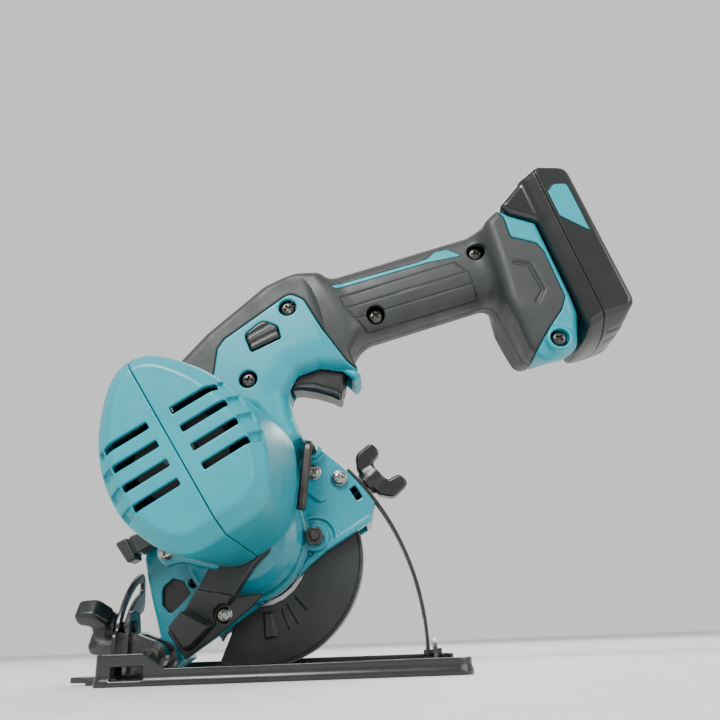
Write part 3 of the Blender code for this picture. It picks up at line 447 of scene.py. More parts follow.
TEAL = (0.002, 0.26, 0.325)
LOOKS = {
    "pod": look("moulded_teal", TEAL, 0.36, depth=0.03, grain=2200.0, tone=0.05, dust=0.05),
    "paint": look("painted_teal", (0.001, 0.22, 0.285), 0.28, depth=0.05, grain=520.0, tone=0.08,
                  scuff=0.35, scuff_colour=(0.3, 0.4, 0.4), coat=0.25, dust=0.06),
    "skin": look("soft_charcoal", (0.021, 0.025, 0.024), 0.5, depth=0.06, grain=1300.0, tone=0.12,
                 cells=True, dust=0.05),
    "black": look("black_plastic", (0.006, 0.007, 0.007), 0.3, depth=0.02, grain=1600.0, tone=0.2,
                  dust=0.04),
    "battery": look("battery_black", (0.006, 0.007, 0.007), 0.2, depth=0.012, grain=1400.0,
                    tone=0.2, coat=0.2, dust=0.04),
    "duct": look("duct_black", (0.016, 0.018, 0.018), 0.36, depth=0.04, grain=1500.0, tone=0.15,
                 dust=0.06),
    "guard": look("guard_grey", (0.018, 0.021, 0.021), 0.38, depth=0.03, grain=900.0, tone=0.2,
                  scuff=0.4, scuff_colour=(0.12, 0.12, 0.12), dust=0.08),
    "sheet": look("black_sheet", (0.008, 0.009, 0.009), 0.24, depth=0.03, grain=420.0, tone=0.25,
                  scuff=0.35, scuff_colour=(0.2, 0.19, 0.18), coat=0.3, dust=0.06),
    "dark_screw": look("black_screw", (0.07, 0.068, 0.062), 0.3, metal=0.9, depth=0.04, grain=900.0,
                       tone=0.3, scuff=0.7, scuff_colour=(0.45, 0.42, 0.38)),
    "zinc": look("zinc_screw", (0.34, 0.33, 0.31), 0.26, metal=1.0, depth=0.05, grain=800.0, tone=0.2,
                 scuff=0.3, scuff_colour=(0.2, 0.18, 0.15)),
    "steel": look("bright_steel", (0.5, 0.51, 0.52), 0.28, metal=1.0, depth=0.03, grain=1500.0,
                  tone=0.1),
    "tool": look("tool_steel", (0.06, 0.055, 0.05), 0.36, metal=0.8, depth=0.05, grain=700.0,
                 tone=0.25, scuff=0.6, scuff_colour=(0.3, 0.27, 0.24)),
    "machined": look("machined_steel", (0.34, 0.35, 0.36), 0.33, metal=1.0, depth=0.04, grain=600.0,
                     tone=0.15),
    "stack": look("lamination", (0.22, 0.2, 0.19), 0.5, metal=0.8, grain=2500.0, depth=0.08, tone=0.2),
    "copper": look("copper", (0.72, 0.33, 0.16), 0.3, metal=1.0, depth=0.03, tone=0.15),
    "wrap": look("cell_wrap", (0.08, 0.24, 0.11), 0.4, depth=0.02, grain=900.0, tone=0.15, coat=0.3),
}


# ---- outlines, repeated from the frame's design ----

FRONT_COVER = rounded([
    (66.0, 86.0, 2), (66.0, 102.0, 3), (72.0, 114.5, 6), (94.0, 121.5, 12), (132.0, 128.3, 12),
    (148.0, 127.0, 8), (160.0, 119.0, 4), (158.0, 80.0, 6), (150.0, 73.0, 3), (147.8, 60.6, 1.6),
    (144.0, 58.6, 1.6), (141.6, 67.0, 5), (132.0, 74.6, 6), (121.0, 77.2, 6), (111.0, 71.0, 6),
    (107.6, 60.0, 5), (106.4, 50.0, 1), (96.5, 48.0, 1), (94.0, 72.0, 3), (84.0, 84.0, 3),
])
TEAL_FRONT = rounded([
    (60.0, 60.0, 0), (80.0, 92.0, 0), (87.1, 99.9, 2), (94.3, 109.6, 3), (99.6, 112.2, 3),
    (140.6, 116.0, 6), (144.6, 108.9, 4), (143.6, 88.0, 30), (145.2, 68.5, 12), (149.5, 60.0, 0),
    (150.0, 40.0, 0), (90.0, 30.0, 0),
])
FOOT = rounded([
    (212.0, 151.0, 8), (221.5, 156.0, 2), (226.5, 150.0, 1), (237.4, 141.6, 2), (237.4, 88.0, 10),
    (231.0, 72.0, 8), (216.0, 66.8, 4), (209.0, 80.0, 6), (207.0, 105.0, 10), (210.0, 128.0, 10),
])
FOOT_STRIPE = rounded([
    (221.6, 156.5, 0), (222.7, 149.1, 2), (221.6, 137.2, 2), (232.4, 129.8, 5), (234.6, 124.0, 4),
    (234.2, 97.4, 3), (229.8, 91.4, 5), (220.4, 84.6, 8), (205.0, 71.0, 0), (214.0, 60.0, 0),
    (245.0, 60.0, 0), (245.0, 146.0, 0), (226.0, 152.0, 0),
])
GRIP_STRIPE = rounded([
    (127.0, 144.9, 0.5), (129.0, 143.1, 0.5), (179.3, 142.2, 0), (197.4, 139.9, 1), (190.9, 147.2, 2),
    (184.6, 147.6, 2), (180.0, 144.9, 2), (175.2, 144.2, 2), (128.6, 145.6, 0.5),
])
TRIGGER_ROOM = rounded([
    (112.0, 66.0, 0), (136.0, 48.0, 0), (140.2, 57.4, 0), (147.6, 68.4, 2), (147.2, 77.0, 0),
    (136.0, 92.0, 0), (118.0, 92.0, 0),
])
LOCK_BUTTON = rounded([
    (109.6, 108.4, 3.2), (121.0, 110.2, 4.5), (125.6, 103.4, 3), (123.7, 97.2, 0.8), (108.0, 98.8, 0.8),
])
HANDLE_SCREWS = (
    (135.4, 109.6, -13.6), (99.2, 87.0, -13.6), (171.2, 82.0, -11.2), (233.8, 81.9, -12.6),
    (235.6, 17.7, -23.0),
)
CASE_SCREWS = ((112.0, 25.9), (102.7, 35.7))
POD_SCREW = (27.2, 35.4)
DUCT_SCREW = (34.8, -2.0)
STUD = (86.6, 7.7)
WRENCH_BEND = (108.0, 46.0)
WRENCH_TIP = (87.7, 19.7)
DOME = (58.0, 26.0)
FLANGE = (62.0, 50.0)
PIVOT_BOSS = 6.5


def case_outline():
    outline = [(113.0, -0.5)]
    outline += arc((0, 0), 120.6, 3.2, 28, 12)
    outline += arc(SPINDLE, 56.5, 52, 148, 28)
    outline += [(7.5, 34.0), (3.6, 19.0), (1.0, 9.0)]
    outline += arc((0, 0), PIVOT_BOSS, 125, 275, 12)
    outline += [(49.0, -4.8), (60.0, -5.4), (78.0, -1.8), (88.0, -0.5)]
    return outline


CASE = case_outline()


# ---- motor pod ----

POD_CENTRE_W = 48.0
POD_RIM_SHARE = 0.915
POD_ROOT = (
    (0.0, 98.4), (10.0, 96.6), (19.5, 90.0), (27.5, 80.0), (33.5, 69.0), (37.2, 58.0), (38.2, 48.0),
    (35.4, 39.5), (30.2, 31.0), (21.4, 19.0), (13.0, 11.8), (0.0, 10.4),
)
POD_RIM = (
    (0.0, 94.8), (7.5, 92.4), (14.2, 86.8), (20.4, 79.0), (26.0, 69.5), (29.8, 58.6), (31.2, 46.5),
    (30.4, 37.0), (27.6, 28.6), (23.2, 20.0), (16.5, 13.2), (0.0, 11.6),
)
POD_SPLIT = 60.5
VENT_HEIGHTS = (63.2, 54.7, 46.0, 37.4)
VENT_SPANS = ((66.0, 85.5), (37.0, 56.0))


def radius_series(profile, terms=11):
    """Cosine series for an outline's radius, by its angle from the upward direction."""
    cosines, radii = [], []
    for (ax, az), (bx, bz) in zip(profile, profile[1:]):
        for i in range(12):
            across = ax + (bx - ax) * i / 12
            rise = az + (bz - az) * i / 12 - POD_CENTRE_W
            radii.append(math.hypot(across, rise))
            cosines.append(rise / radii[-1])
    return np.polynomial.chebyshev.chebfit(cosines, radii, terms)


ROOT_SERIES = radius_series(POD_ROOT)
RIM_SERIES = radius_series(POD_RIM)


def pod_distance(u, y, w, inset=0.0):
    share = np.clip((y - POD_FAR) / (POD_NEAR - POD_FAR) / POD_RIM_SHARE, 0.0, 1.0)
    across = u - (63.2 - 2.2 * share)
    rise = w - POD_CENTRE_W
    reach = np.maximum(np.hypot(across, rise), 1e-6)
    root = np.polynomial.chebyshev.chebval(rise / reach, ROOT_SERIES)
    rim = np.polynomial.chebyshev.chebval(rise / reach, RIM_SERIES)
    side = reach - root + (root - rim) * share + inset
    face = POD_NEAR + inset - y
    chamfer = (side + face) * math.sqrt(0.5) + 4.7 - 0.4 * inset
    return larger(larger(side, chamfer, 1.6), face, 1.2)


def pod_body(u, y, w):
    return larger(pod_distance(u, y, w), y - POD_FAR, 0.6)


def pod_half(sign):
    """sign is 1 for the rear half, which is towards +u."""
    def field(u, y, w):
        outer = pod_body(u, y, w)
        room = np.maximum(pod_distance(u, y, w, 2.4), y - POD_FAR + 2.2)
        mouth = np.maximum(rod(u, w, FLANGE, 31.0), np.abs(y - POD_FAR) - 4.0)
        shape = without(outer, joined(room, mouth))
        for height in VENT_HEIGHTS:
            low, high = VENT_SPANS[0] if sign > 0 else VENT_SPANS[1]
            slot = bar(u, w, (low + 0.6, height - 1.0), (high - 0.6, height + 1.0)) - 0.6
            shape = larger(shape, -np.maximum(slot, y - POD_NEAR - 6.0), 0.5)
            ends = (high + 1.2, 120.0) if sign > 0 else (0.0, low - 1.2)
            pocket = bar(u, w, (ends[0], height - 1.5), (ends[1], height + 1.5)) - 0.5
            shallow = np.maximum(pocket, -(outer + 1.6))
            shape = larger(shape, -np.maximum(shallow, y - POD_NEAR - 8.0), 0.6)
        return larger(shape, sign * (POD_SPLIT - u) + GAP, 0.5)
    return field


def make_pod():
    halves = (("pod_rear_half", 1, "motor_housing_rear"), ("pod_front_half", -1, "motor_housing_front"))
    for name, sign, cad in halves:
        low = (POD_SPLIT if sign > 0 else 24.0, POD_NEAR, 10.0)
        high = (102.0 if sign > 0 else POD_SPLIT, POD_FAR, 101.0)
        mould(name, pod_half(sign), low, high, 0.6, SAW, "pod", "saw_body", [cad])


# ---- handle ----


def grip_section(y, k):
    return ((np.abs(y / 17.0) ** 2.7 + np.abs((k - 134.8) / 19.6) ** 2.7) ** (1 / 2.7) - 1.0) * 17.0


NOTCH = (
    (150.0, 60.0), (144.0, 66.0), (132.0, 74.6), (121.0, 77.2), (111.0, 71.0), (107.6, 60.0),
    (106.4, 50.0),
)


def foot_distance(h, y, k):
    """The battery foot, narrower below and with its underside rising to the far side."""
    narrow = np.clip((100.0 - k) / 28.0, 0.0, 1.0)
    half = FOOT_HALF - 5.0 * narrow * narrow * (3.0 - 2.0 * narrow)
    foot = block(outline_distance(h, k, FOOT), y / half * FOOT_HALF, -FOOT_HALF, FOOT_HALF, 5.5)
    rise = 70.6 + 0.29 * np.maximum(y + 16.0, 0.0) - k
    foot = larger(foot, rise, 5.0)
    boss_at = to_handle(HANDLE_SCREWS[4][0], HANDLE_SCREWS[4][1])
    return joined(foot, block(rod(h, k, boss_at, 6.3), y, -26.2, -12.0, 1.2), 3.0)


def handle_body(u, y, w):
    h, k = to_handle(u, w)
    near_notch = np.clip(1.0 - line_distance(u, w, NOTCH) / 15.0, 0.0, 1.0)
    half = 17.0 - 6.5 * (1.0 - np.sqrt(np.maximum(1.0 - near_notch ** 2, 0.0)))
    front = block(outline_distance(u, w, FRONT_COVER), y * 17.0 / half, -17.0, 17.0, 5.0)
    grip = np.maximum(grip_section(y, k), np.abs(h - 170.0) - 50.0)
    shape = joined(joined(front, grip, 9.0), foot_distance(h, y, k), 10.0)
    shape = without(shape, block(outline_distance(u, w, TRIGGER_ROOM), y, -9.0, 9.0, 1.0), 1.2)
    shape = without(shape, np.maximum(rod(u, w, FLANGE, 35.8), y - 9.9))
    shape = without(shape, np.maximum(outline_distance(u, w, CASE) - 0.5, 9.6 - y))
    return without(shape, np.maximum(pod_body(u, y, w) - 0.3, y + 15.0))


def screw_wells(shape, u, y, w, radius=4.6):
    for cu, cw, seat in HANDLE_SCREWS:
        well = np.maximum(rod(u, w, (cu, cw), radius), y - seat - 0.3)
        shape = larger(shape, -well, 0.8)
    return shape


def half_of(shape, y, side):
    return larger(shape, GAP - side * y, 0.4)


GRIP_LINES = (
    ((129.6, 137.4), (130.4, 130.6), (133.8, 124.0), (137.4, 117.4)),
    ((137.4, 117.4), (197.6, 117.0)), ((196.9, 130.2), (197.6, 117.0)),
    ((130.4, 130.9), (196.4, 130.4), (192.0, 137.2)), ((133.8, 124.4), (197.2, 123.8)),
    ((129.6, 137.4), (192.0, 137.2)),
)
CHEVRON = ((217.9, 122.9), (224.4, 119.6), (225.2, 104.4), (220.0, 99.4))


def engraved(u, y, w):
    """How much the grip's lines and the foot's mark lower the skin."""
    h, k = to_handle(u, w)
    depth = 0.0
    for line in GRIP_LINES:
        depth = np.maximum(depth, 0.55 * np.exp(-(line_distance(h, k, line) / 0.42) ** 2))
    mark = line_distance(h, k, CHEVRON)
    return np.maximum(depth, 1.3 * np.exp(-(mark / 1.1) ** 2))


def skin_part(side):
    def field(u, y, w):
        h, k = to_handle(u, w)
        shape = handle_body(u, y, w)
        hollow = shape + WALL
        shape = shape + engraved(u, y, w)
        for region in (
            outline_distance(u, w, TEAL_FRONT), outline_distance(h, k, FOOT_STRIPE),
        ):
            shape = without(shape, region - 0.25, 0.9)
        stripe = np.maximum(outline_distance(h, k, GRIP_STRIPE) - 0.15, -(hollow - WALL + 1.2))
        shape = without(shape, stripe, 0.4)
        shape = without(shape, hollow)
        return half_of(screw_wells(shape, u, y, w), y, side)
    return field


def teal_part(region_frame, region, proud, side):
    def field(u, y, w):
        body = handle_body(u, y, w)
        flat = (u, w) if region_frame == "saw" else to_handle(u, w)
        shape = larger(body - proud, outline_distance(*flat, region), 1.1)
        shape = without(shape, body + WALL)
        if side < 0:
            shape = screw_wells(shape, u, y, w)
            button = outline_distance(u, w, LOCK_BUTTON) - 0.45
            shape = larger(shape, -np.maximum(button, y + 4.0), 0.7)
        return half_of(shape, y, side)
    return field


def stripe_part(side):
    def field(u, y, w):
        h, k = to_handle(u, w)
        body = handle_body(u, y, w)
        shape = larger(body - 0.12, outline_distance(h, k, GRIP_STRIPE), 0.5)
        return half_of(without(shape, body + 1.1), y, side)
    return field


def in_handle_frame(field):
    def turned_field(h, y, k):
        u, w = from_handle(h, k)
        return field(u, y, w)
    return turned_field


def make_handle():
    for word, side in (("left", -1), ("right", 1)):
        depth = (-FOOT_HALF, 0.0) if side < 0 else (0.0, FOOT_HALF)
        shallow = (-18.0, 0.0) if side < 0 else (0.0, 18.0)
        mould(
            f"grip_skin_{word}", in_handle_frame(skin_part(side)), (36.0, depth[0], 64.0),
            (238.0, depth[1], 157.0), 0.6, HANDLE, "skin", "saw_body",
            [f"grip_overmould_{word}", f"handle_shell_{word}"], keep=0.4,
        )
        mould(
            f"front_cover_{word}", teal_part("saw", TEAL_FRONT, 0.35, side), (64.0, shallow[0], 46.0),
            (150.0, shallow[1], 118.0), 0.55, SAW, "pod", "saw_body", [f"handle_shell_{word}"],
        )
        mould(
            f"foot_trim_{word}", in_handle_frame(teal_part("handle", FOOT_STRIPE, 0.3, side)),
            (205.0, depth[0], 64.0), (239.0, depth[1], 157.0), 0.55, HANDLE, "pod", "saw_body",
            [f"handle_shell_{word}"],
        )
        mould(
            f"grip_trim_{word}", in_handle_frame(stripe_part(side)), (125.0, shallow[0], 138.0),
            (199.0, shallow[1], 149.0), 0.4, HANDLE, "pod", "saw_body", [f"grip_overmould_{word}"],
        )


# ---- controls ----

TRIGGER = rounded([
    (116.0, 79.0, 1.5), (114.8, 73.6, 2.0), (119.0, 71.4, 3), (124.7, 66.2, 4), (130.0, 59.8, 4),
    (132.6, 55.2, 1.6), (138.4, 60.8, 2.5), (145.8, 69.9, 2), (134.0, 82.0, 2), (122.0, 84.0, 2),
])


def trigger_field(u, y, w):
    shape = block(outline_distance(u, w, TRIGGER), y, -7.8, 7.8, 2.2)
    step = line_distance(u, w, ((114.0, 77.4), (126.0, 69.6), (136.6, 57.6)))
    return shape + 0.5 * np.exp(-(step / 0.6) ** 2)


def lock_field(u, y, w):
    shape = block(outline_distance(u, w, LOCK_BUTTON), y, -18.6, -4.0, 1.2)
    groove = np.minimum(
        line_distance(u, w, ((107.0, 102.3), (126.0, 101.0))),
        line_distance(u, w, ((110.0, 106.6), (122.0, 106.4))),
    )
    return shape + 0.7 * np.exp(-(groove / 0.6) ** 2) * (y < -10)


def make_controls():
    mould("trigger_blade", trigger_field, (113.0, -8.0, 54.0), (147.0, 8.0, 85.0), 0.45, SAW, "black",
          "trigger_lever", ["trigger"])
    mould("lock_off_cap", lock_field, (106.0, -19.0, 95.0), (128.0, -4.0, 112.0), 0.35, SAW, "black",
          "lock_off", ["lock_off_button"])


# ---- battery ----

BATTERY_FACE = 238.3
BATTERY_BACK = 263.5
BATTERY_SPLIT = 246.4
PACK = rounded([
    (BATTERY_FACE, 75.0, 4), (BATTERY_FACE, 167.4, 2), (249.5, 170.6, 4), (BATTERY_BACK, 165.4, 7),
    (BATTERY_BACK, 84.0, 7), (257.0, 75.6, 5), (246.0, 72.4, 4),
])
SHOULDER = rounded([
    (245.0, 140.0, 0), (238.5, 141.9, 0), (227.1, 150.5, 1), (223.6, 157.2, 2), (238.8, 167.4, 3),
    (246.0, 170.0, 0),
])
LABEL = rounded([
    (248.2, 153.8, 1.5), (252.8, 157.0, 1.5), (258.9, 155.2, 2), (259.2, 148.0, 3), (258.9, 125.8, 0.6),
    (248.2, 138.6, 1.5),
])


def underside(y, k):
    """The pack's bottom, which rises towards both sides."""
    return 73.0 + 8.5 * (np.abs(y) / BATTERY_HALF) ** 2 - k


def button_room(shape, h, y, k):
    room = np.maximum(np.maximum(np.abs(y) - 9.6, np.abs(h - 248.0) - 8.0), 160.0 - k)
    return without(shape, room, 0.6)


def cover_field(h, y, k):
    half = BATTERY_HALF - 0.55 * np.maximum(BATTERY_SPLIT - h, 0.0)
    band = block(outline_distance(h, k, PACK), y / half * BATTERY_HALF, -BATTERY_HALF, BATTERY_HALF, 3.4)
    shoulder = block(outline_distance(h, k, SHOULDER), y, 0.6 - FOOT_HALF, FOOT_HALF - 0.6, 3.5)
    shape = joined(band, shoulder, 2.0)
    shape = larger(shape, underside(y, k), 3.0)
    shape = larger(shape, h - BATTERY_SPLIT + 0.12, 0.5)
    rail = np.maximum(np.abs(y) - 12.5, 229.8 - h)
    rail = np.maximum(rail, np.maximum(h - 241.0, np.abs(k - 113.5) - 27.0))
    shape = joined(shape, rail, 0.5)
    shape = without(shape, np.maximum(np.maximum(np.abs(y) - 10.0, h - 236.4), np.abs(k - 115.0) - 35.0))
    inner = block(outline_distance(h, k, PACK) + 2.4, y, 6.5 - BATTERY_HALF, BATTERY_HALF - 6.5, 3.5)
    shape = without(shape, np.maximum(np.maximum(inner, underside(y, k) + 2.4), 240.4 - h))
    return button_room(shape, h, y, k)


def tub_field(h, y, k):
    flat = outline_distance(h, k, PACK)
    shape = block(flat, y, -BATTERY_HALF, BATTERY_HALF, 3.2)
    shape = larger(shape, underside(y, k), 3.0)
    ribs = 0.5 * np.exp(-((np.abs(y) - 9.0) / 1.1) ** 2) + 0.5 * np.exp(-((np.abs(y) - 18.0) / 1.1) ** 2)
    shape = shape + ribs * (k < 84.0) * (h > 249.0)
    shape = larger(shape, BATTERY_SPLIT + 0.12 - h, 0.5)
    inner = block(flat + 3.2, y, 3.4 - BATTERY_HALF, BATTERY_HALF - 3.4, 2.5)
    inner = np.maximum(inner, underside(y, k) + 2.4)
    shape = without(shape, np.maximum(inner, BATTERY_SPLIT - 1.0 - h))
    recess = np.maximum(outline_distance(h, k, LABEL) - 0.2, y + BATTERY_HALF - 0.5)
    return button_room(larger(shape, -recess, 0.3), h, y, k)


def label_field(h, y, k):
    return block(outline_distance(h, k, LABEL), y, 0.06 - BATTERY_HALF, 0.9 - BATTERY_HALF, 0.2)


def battery_button_field(h, y, k):
    shape = block(bar(h, k, (241.0, 163.2), (253.6, 171.0)), y, -9.0, 9.0, 1.4)
    ribs = 0.5 * np.cos(h * 2.4) ** 2 * (k > 168.0)
    return shape + ribs


def make_battery():
    mould("pack_cover", cover_field, (223.0, -31.0, 71.0), (247.0, 31.0, 171.5), 0.6, HANDLE, "battery",
          "battery", ["battery_cover"])
    mould("pack_tub", tub_field, (246.0, -31.0, 71.0), (264.0, 31.0, 171.5), 0.6, HANDLE, "battery",
          "battery", ["battery_tub"])
    mould("pack_panel", label_field, (247.0, -31.5, 125.0), (261.0, -29.5, 158.0), 0.35, HANDLE, "pod",
          "battery")
    mould("pack_button", battery_button_field, (240.5, -9.5, 163.0), (254.0, 9.5, 171.5), 0.4, HANDLE,
          "black", "battery_catch", ["battery_button"])


# ---- blade case and gear housing ----


def case_field(u, y, w):
    flat = outline_distance(u, w, CASE)
    shape = block(flat, y, CASE_NEAR, CASE_FAR, 1.6)
    lip = line_distance(u, w, CASE_LIP) - 1.5
    shape = joined(shape, block(lip, y, CASE_NEAR - 2.0, CASE_NEAR + 2.0, 0.6), 0.8)
    boss = block(rod(u, w, STUD, 6.8), y, 6.2, 12.0, 0.8)
    ridge = np.maximum(np.abs(rod(u, w, STUD, 10.2)) - 0.9, flat + 1.0)
    shape = joined(joined(shape, boss, 1.6), block(ridge, y, 8.6, 12.0, 0.6), 1.0)
    pad = outline_distance(u, w, SCREW_PAD)
    shape = joined(shape, block(pad, y, CASE_NEAR - 1.2, 12.0, 0.7), 1.6)
    holder = block(rod(u, w, WRENCH_BEND, 5.4), y, 3.6, 12.0, 0.8)
    shape = joined(shape, larger(holder, flat + 0.2, 0.5), 1.5)
    room = block(flat + 2.4, y, CASE_NEAR + 2.4, CASE_FAR - 1.9, 1.2)
    mouth = block(outline_distance(u, w, MOUTH), y, CASE_NEAR + 2.4, CASE_FAR - 1.9, 0.8)
    shape = without(shape, joined(room, mouth), 0.6)
    window = joined(rod(u, w, SPINDLE, 30.0), outline_distance(u, w, WINDOW), 4.0)
    window = np.maximum(window, CASE_FAR - 4.5 - y)
    shape = without(shape, window, 0.9)
    hub = np.maximum(rod(u, w, SPINDLE, 21.0), y - CASE_NEAR - 5.0)
    shape = without(shape, hub)
    shape = without(shape, np.maximum(rod(u, w, WRENCH_BEND, 3.4), y - 45.0), 0.6)
    shape = without(shape, rod(u, w, (0.0, 0.0), 2.8), 0.4)
    slot = np.maximum(bar(u, w, (113.9, 12.6), (116.1, 18.4)) - 0.6, y - 13.0)
    recess = np.maximum(outline_distance(u, w, FRONT_RECESS), y - 13.0)
    hole = np.maximum(rod(u, w, (26.1, 22.2), 2.3), y - 13.0)
    for cut in (slot, recess, hole):
        shape = without(shape, cut, 0.7)
    knob = stud_distance(u, y, w) - 2.75
    return without(shape, knob)


CASE_LIP = ((113.4, 1.0), (88.2, 1.0), (78.2, -0.3), (60.2, -3.9), (49.2, -3.3))
MOUTH = [(7.5, 12.0), (8.0, -20.0), (111.0, -20.0), (111.0, 6.0)]
WINDOW = rounded([(6.0, 13.0, 2), (-20.0, 13.0, 0), (-20.0, -20.0, 0), (105.0, -20.0, 0), (88.0, 6.0, 6)])
SCREW_PAD = rounded([
    (94.0, 30.0, 6), (100.0, 47.0, 6), (108.0, 44.0, 4), (109.4, 33.0, 6), (106.4, 23.0, 6), (98.0, 19.4, 5),
])
FRONT_RECESS = rounded([
    (13.0, 28.4, 2), (18.6, 29.4, 1.5), (22.4, 25.4, 1.5), (22.6, 18.6, 1), (16.0, 16.6, 1),
    (10.0, 15.6, 1.5),
    (8.6, 21.0, 1.5), (11.4, 26.6, 1),
])
KNOB_SEAT = in_saw(JOINTS["depth_knob_turn"]["pos_m"])
KNOB_ANGLE = math.atan2(KNOB_SEAT.z, KNOB_SEAT.x)


def stud_distance(u, y, w):
    """Distance from the depth knob's line beyond the case's rear wall."""
    along = u * math.cos(KNOB_ANGLE) + w * math.sin(KNOB_ANGLE)
    aside = -u * math.sin(KNOB_ANGLE) + w * math.cos(KNOB_ANGLE)
    return np.maximum(np.hypot(aside, y - KNOB_SEAT.y), 105.0 - along)


def housing_field(u, y, w):
    outer = turned(u, y, w, DOME, [
        (0.0, -7.6), (11.0, -7.6), (16.0, -7.0), (21.5, -5.4), (26.0, -2.6), (28.5, 1.0),
        (28.5, 9.7), (0.0, 9.7),
    ])
    neck = block(rod(u, w, FLANGE, 35.0), y, FLANGE_NEAR, 9.7, 1.2)
    lower = block(rod(u, w, FLANGE, 36.6), y, FLANGE_NEAR, FLANGE_NEAR + 4.0, 1.2)
    ear = block(outline_distance(u, w, EAR), y, FLANGE_NEAR, FLANGE_NEAR + 3.6, 1.0)
    shape = joined(joined(outer, neck, 4.0), joined(lower, ear, 3.0), 1.0)
    skirt = turned(u, y, w, DOME, [(0.0, 6.0), (31.2, 6.0), (31.2, 9.7), (0.0, 9.7)])
    shape = joined(shape, skirt, 2.0)
    inner = turned(u, y, w, DOME, [
        (0.0, -5.6), (17.0, -5.0), (21.8, -3.6), (26.5, 0.5), (26.5, 14.0), (0.0, 14.0),
    ])
    room = np.maximum(rod(u, w, FLANGE, 32.6), FLANGE_NEAR + 3.0 - y)
    shape = without(shape, joined(inner, room))
    shape = without(shape, np.maximum(rod(u, w, MOTOR, 8.3), y))
    shape = without(shape, np.maximum(np.hypot(w - 49.5, y - 2.0) - 2.2, u - 40.0))
    return without(shape, np.maximum(rod(u, w, POD_SCREW, 1.8), y))


FLANGE_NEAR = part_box("gear_housing")[0].y / MM
EAR = rounded([
    (44.0, 14.0, 2), (30.0, 28.0, 10), (23.0, 29.4, 4), (22.2, 37.4, 4), (28.0, 42.6, 3), (44.0, 60.0, 2),
])


def liner_field(u, y, w):
    return block(outline_distance(u, w, FRONT_RECESS) - 1.4, y, CASE_NEAR + 2.7, CASE_NEAR + 3.9, 0.3)


def make_case():
    mould("case_liner", liner_field, (6.0, 12.6, 13.0), (25.0, 14.0, 31.5), 0.4, SAW, "black", "saw_body")
    mould("case_shell", case_field, (-7.0, 3.4, -7.0), (121.5, 35.0, 73.0), 0.6, SAW, "paint",
          "saw_body", ["blade_case"])
    mould("housing_shell", housing_field, (21.0, -17.5, -6.0), (99.5, 10.0, 87.5), 0.6, SAW, "paint",
          "saw_body", ["gear_housing"])


# ---- blower duct, spindle lock, wrench ----

DUCT_BAR = rounded([
    (72.0, 18.0, 0), (66.0, 10.6, 0), (57.0, 8.4, 4), (42.8, 1.9, 3), (28.6, -3.4, 3), (17.4, -6.2, 3),
    (13.6, -5.6, 1.5), (12.4, 6.6, 1.5), (20.5, 9.5, 2), (30.0, 13.6, 3), (42.0, 20.6, 2), (54.0, 26.0, 0),
])
DUCT_ARM = rounded([
    (42.0, 2.6, 0), (54.8, -3.2, 1), (46.0, -5.6, 6), (39.0, -6.4, 2), (31.0, -7.2, 2), (11.4, -8.8, 1),
    (9.8, 6.0, 1), (30.0, 10.0, 0),
])


def duct_field(u, y, w):
    flat = outline_distance(u, w, DUCT_BAR)
    above = 0.672 * u + 0.741 * w - 30.2
    below = 22.3 - 0.842 * u - 0.539 * w
    upper = block(larger(flat, -above, 0.4), y, -15.4, -8.2, 1.5)
    lower = block(larger(flat, -below, 0.6), y, -17.2, -8.2, 1.3)
    slanted = -12.3 + 0.3 * np.minimum(below, 0.0) - y
    middle = larger(np.maximum(flat, y + 8.2), slanted, 1.2)
    middle = np.maximum(middle, np.maximum(above, below) - 0.5)
    arm = block(outline_distance(u, w, DUCT_ARM), y, -10.4, -8.2, 0.6)
    shape = joined(joined(joined(upper, middle, 0.3), lower, 0.3), arm, 0.8)
    shape = without(shape, np.maximum(rod(u, w, DUCT_SCREW, 4.6), y + 10.4), 0.5)
    return without(shape, np.maximum(rod(u, w, DUCT_SCREW, 1.9), y))


LEVER = rounded([
    (5.6, 55.6, 1.2), (6.6, 44.2, 1.2), (11.0, 44.0, 1.0), (11.6, 45.6, 1.0), (22.6, 45.0, 1.5),
    (22.6, 52.8, 2),
    (11.0, 55.2, 1.0),
])


def lever_field(u, y, w):
    shape = block(outline_distance(u, w, LEVER), y, -4.5, 6.5, 1.0)
    shape = shape + 0.9 * np.exp(-((u - 12.0) / 0.8) ** 2)
    stem = np.maximum(np.hypot(w - 49.5, y - 2.0) - 1.8, np.abs(u - 26.0) - 7.0)
    return joined(shape, stem, 0.8)


def wrench_mesh():
    """A hexagonal rod along the hole, round a bend and down its short arm."""
    bend = Vector((WRENCH_BEND[0], -8.0, WRENCH_BEND[1]))
    tip = Vector((WRENCH_TIP[0], -8.0, WRENCH_TIP[1]))
    arm = (tip - bend).normalized()
    radius = 4.5
    path = [(bend + Vector((0, y, 0)), Vector((0, -1, 0))) for y in (48.0, 46.8, radius)]
    for i in range(1, 9):
        angle = math.pi / 2 * i / 9
        centre = bend + Vector((0, radius, 0)) + arm * radius
        place = centre + Vector((0, -1, 0)) * radius * math.sin(angle) - arm * radius * math.cos(angle)
        path.append((place, Vector((0, -1, 0)) * math.cos(angle) + arm * math.sin(angle)))
    path += [(bend + arm * radius, arm), (tip - arm * 0.4, arm), (tip, arm)]
    side = Vector((0, -1, 0)).cross(arm).normalized()
    rings = []
    for number, (place, way) in enumerate(path):
        other = way.cross(side).normalized()
        size = 2.0 if number in (0, len(path) - 1) else 2.4
        ring = []
        for i in range(6):
            angle = math.pi / 3 * i
            ring.append(place + (side * math.cos(angle) + other * math.sin(angle)) * size)
        rings.append(ring)
    return loft(rings)


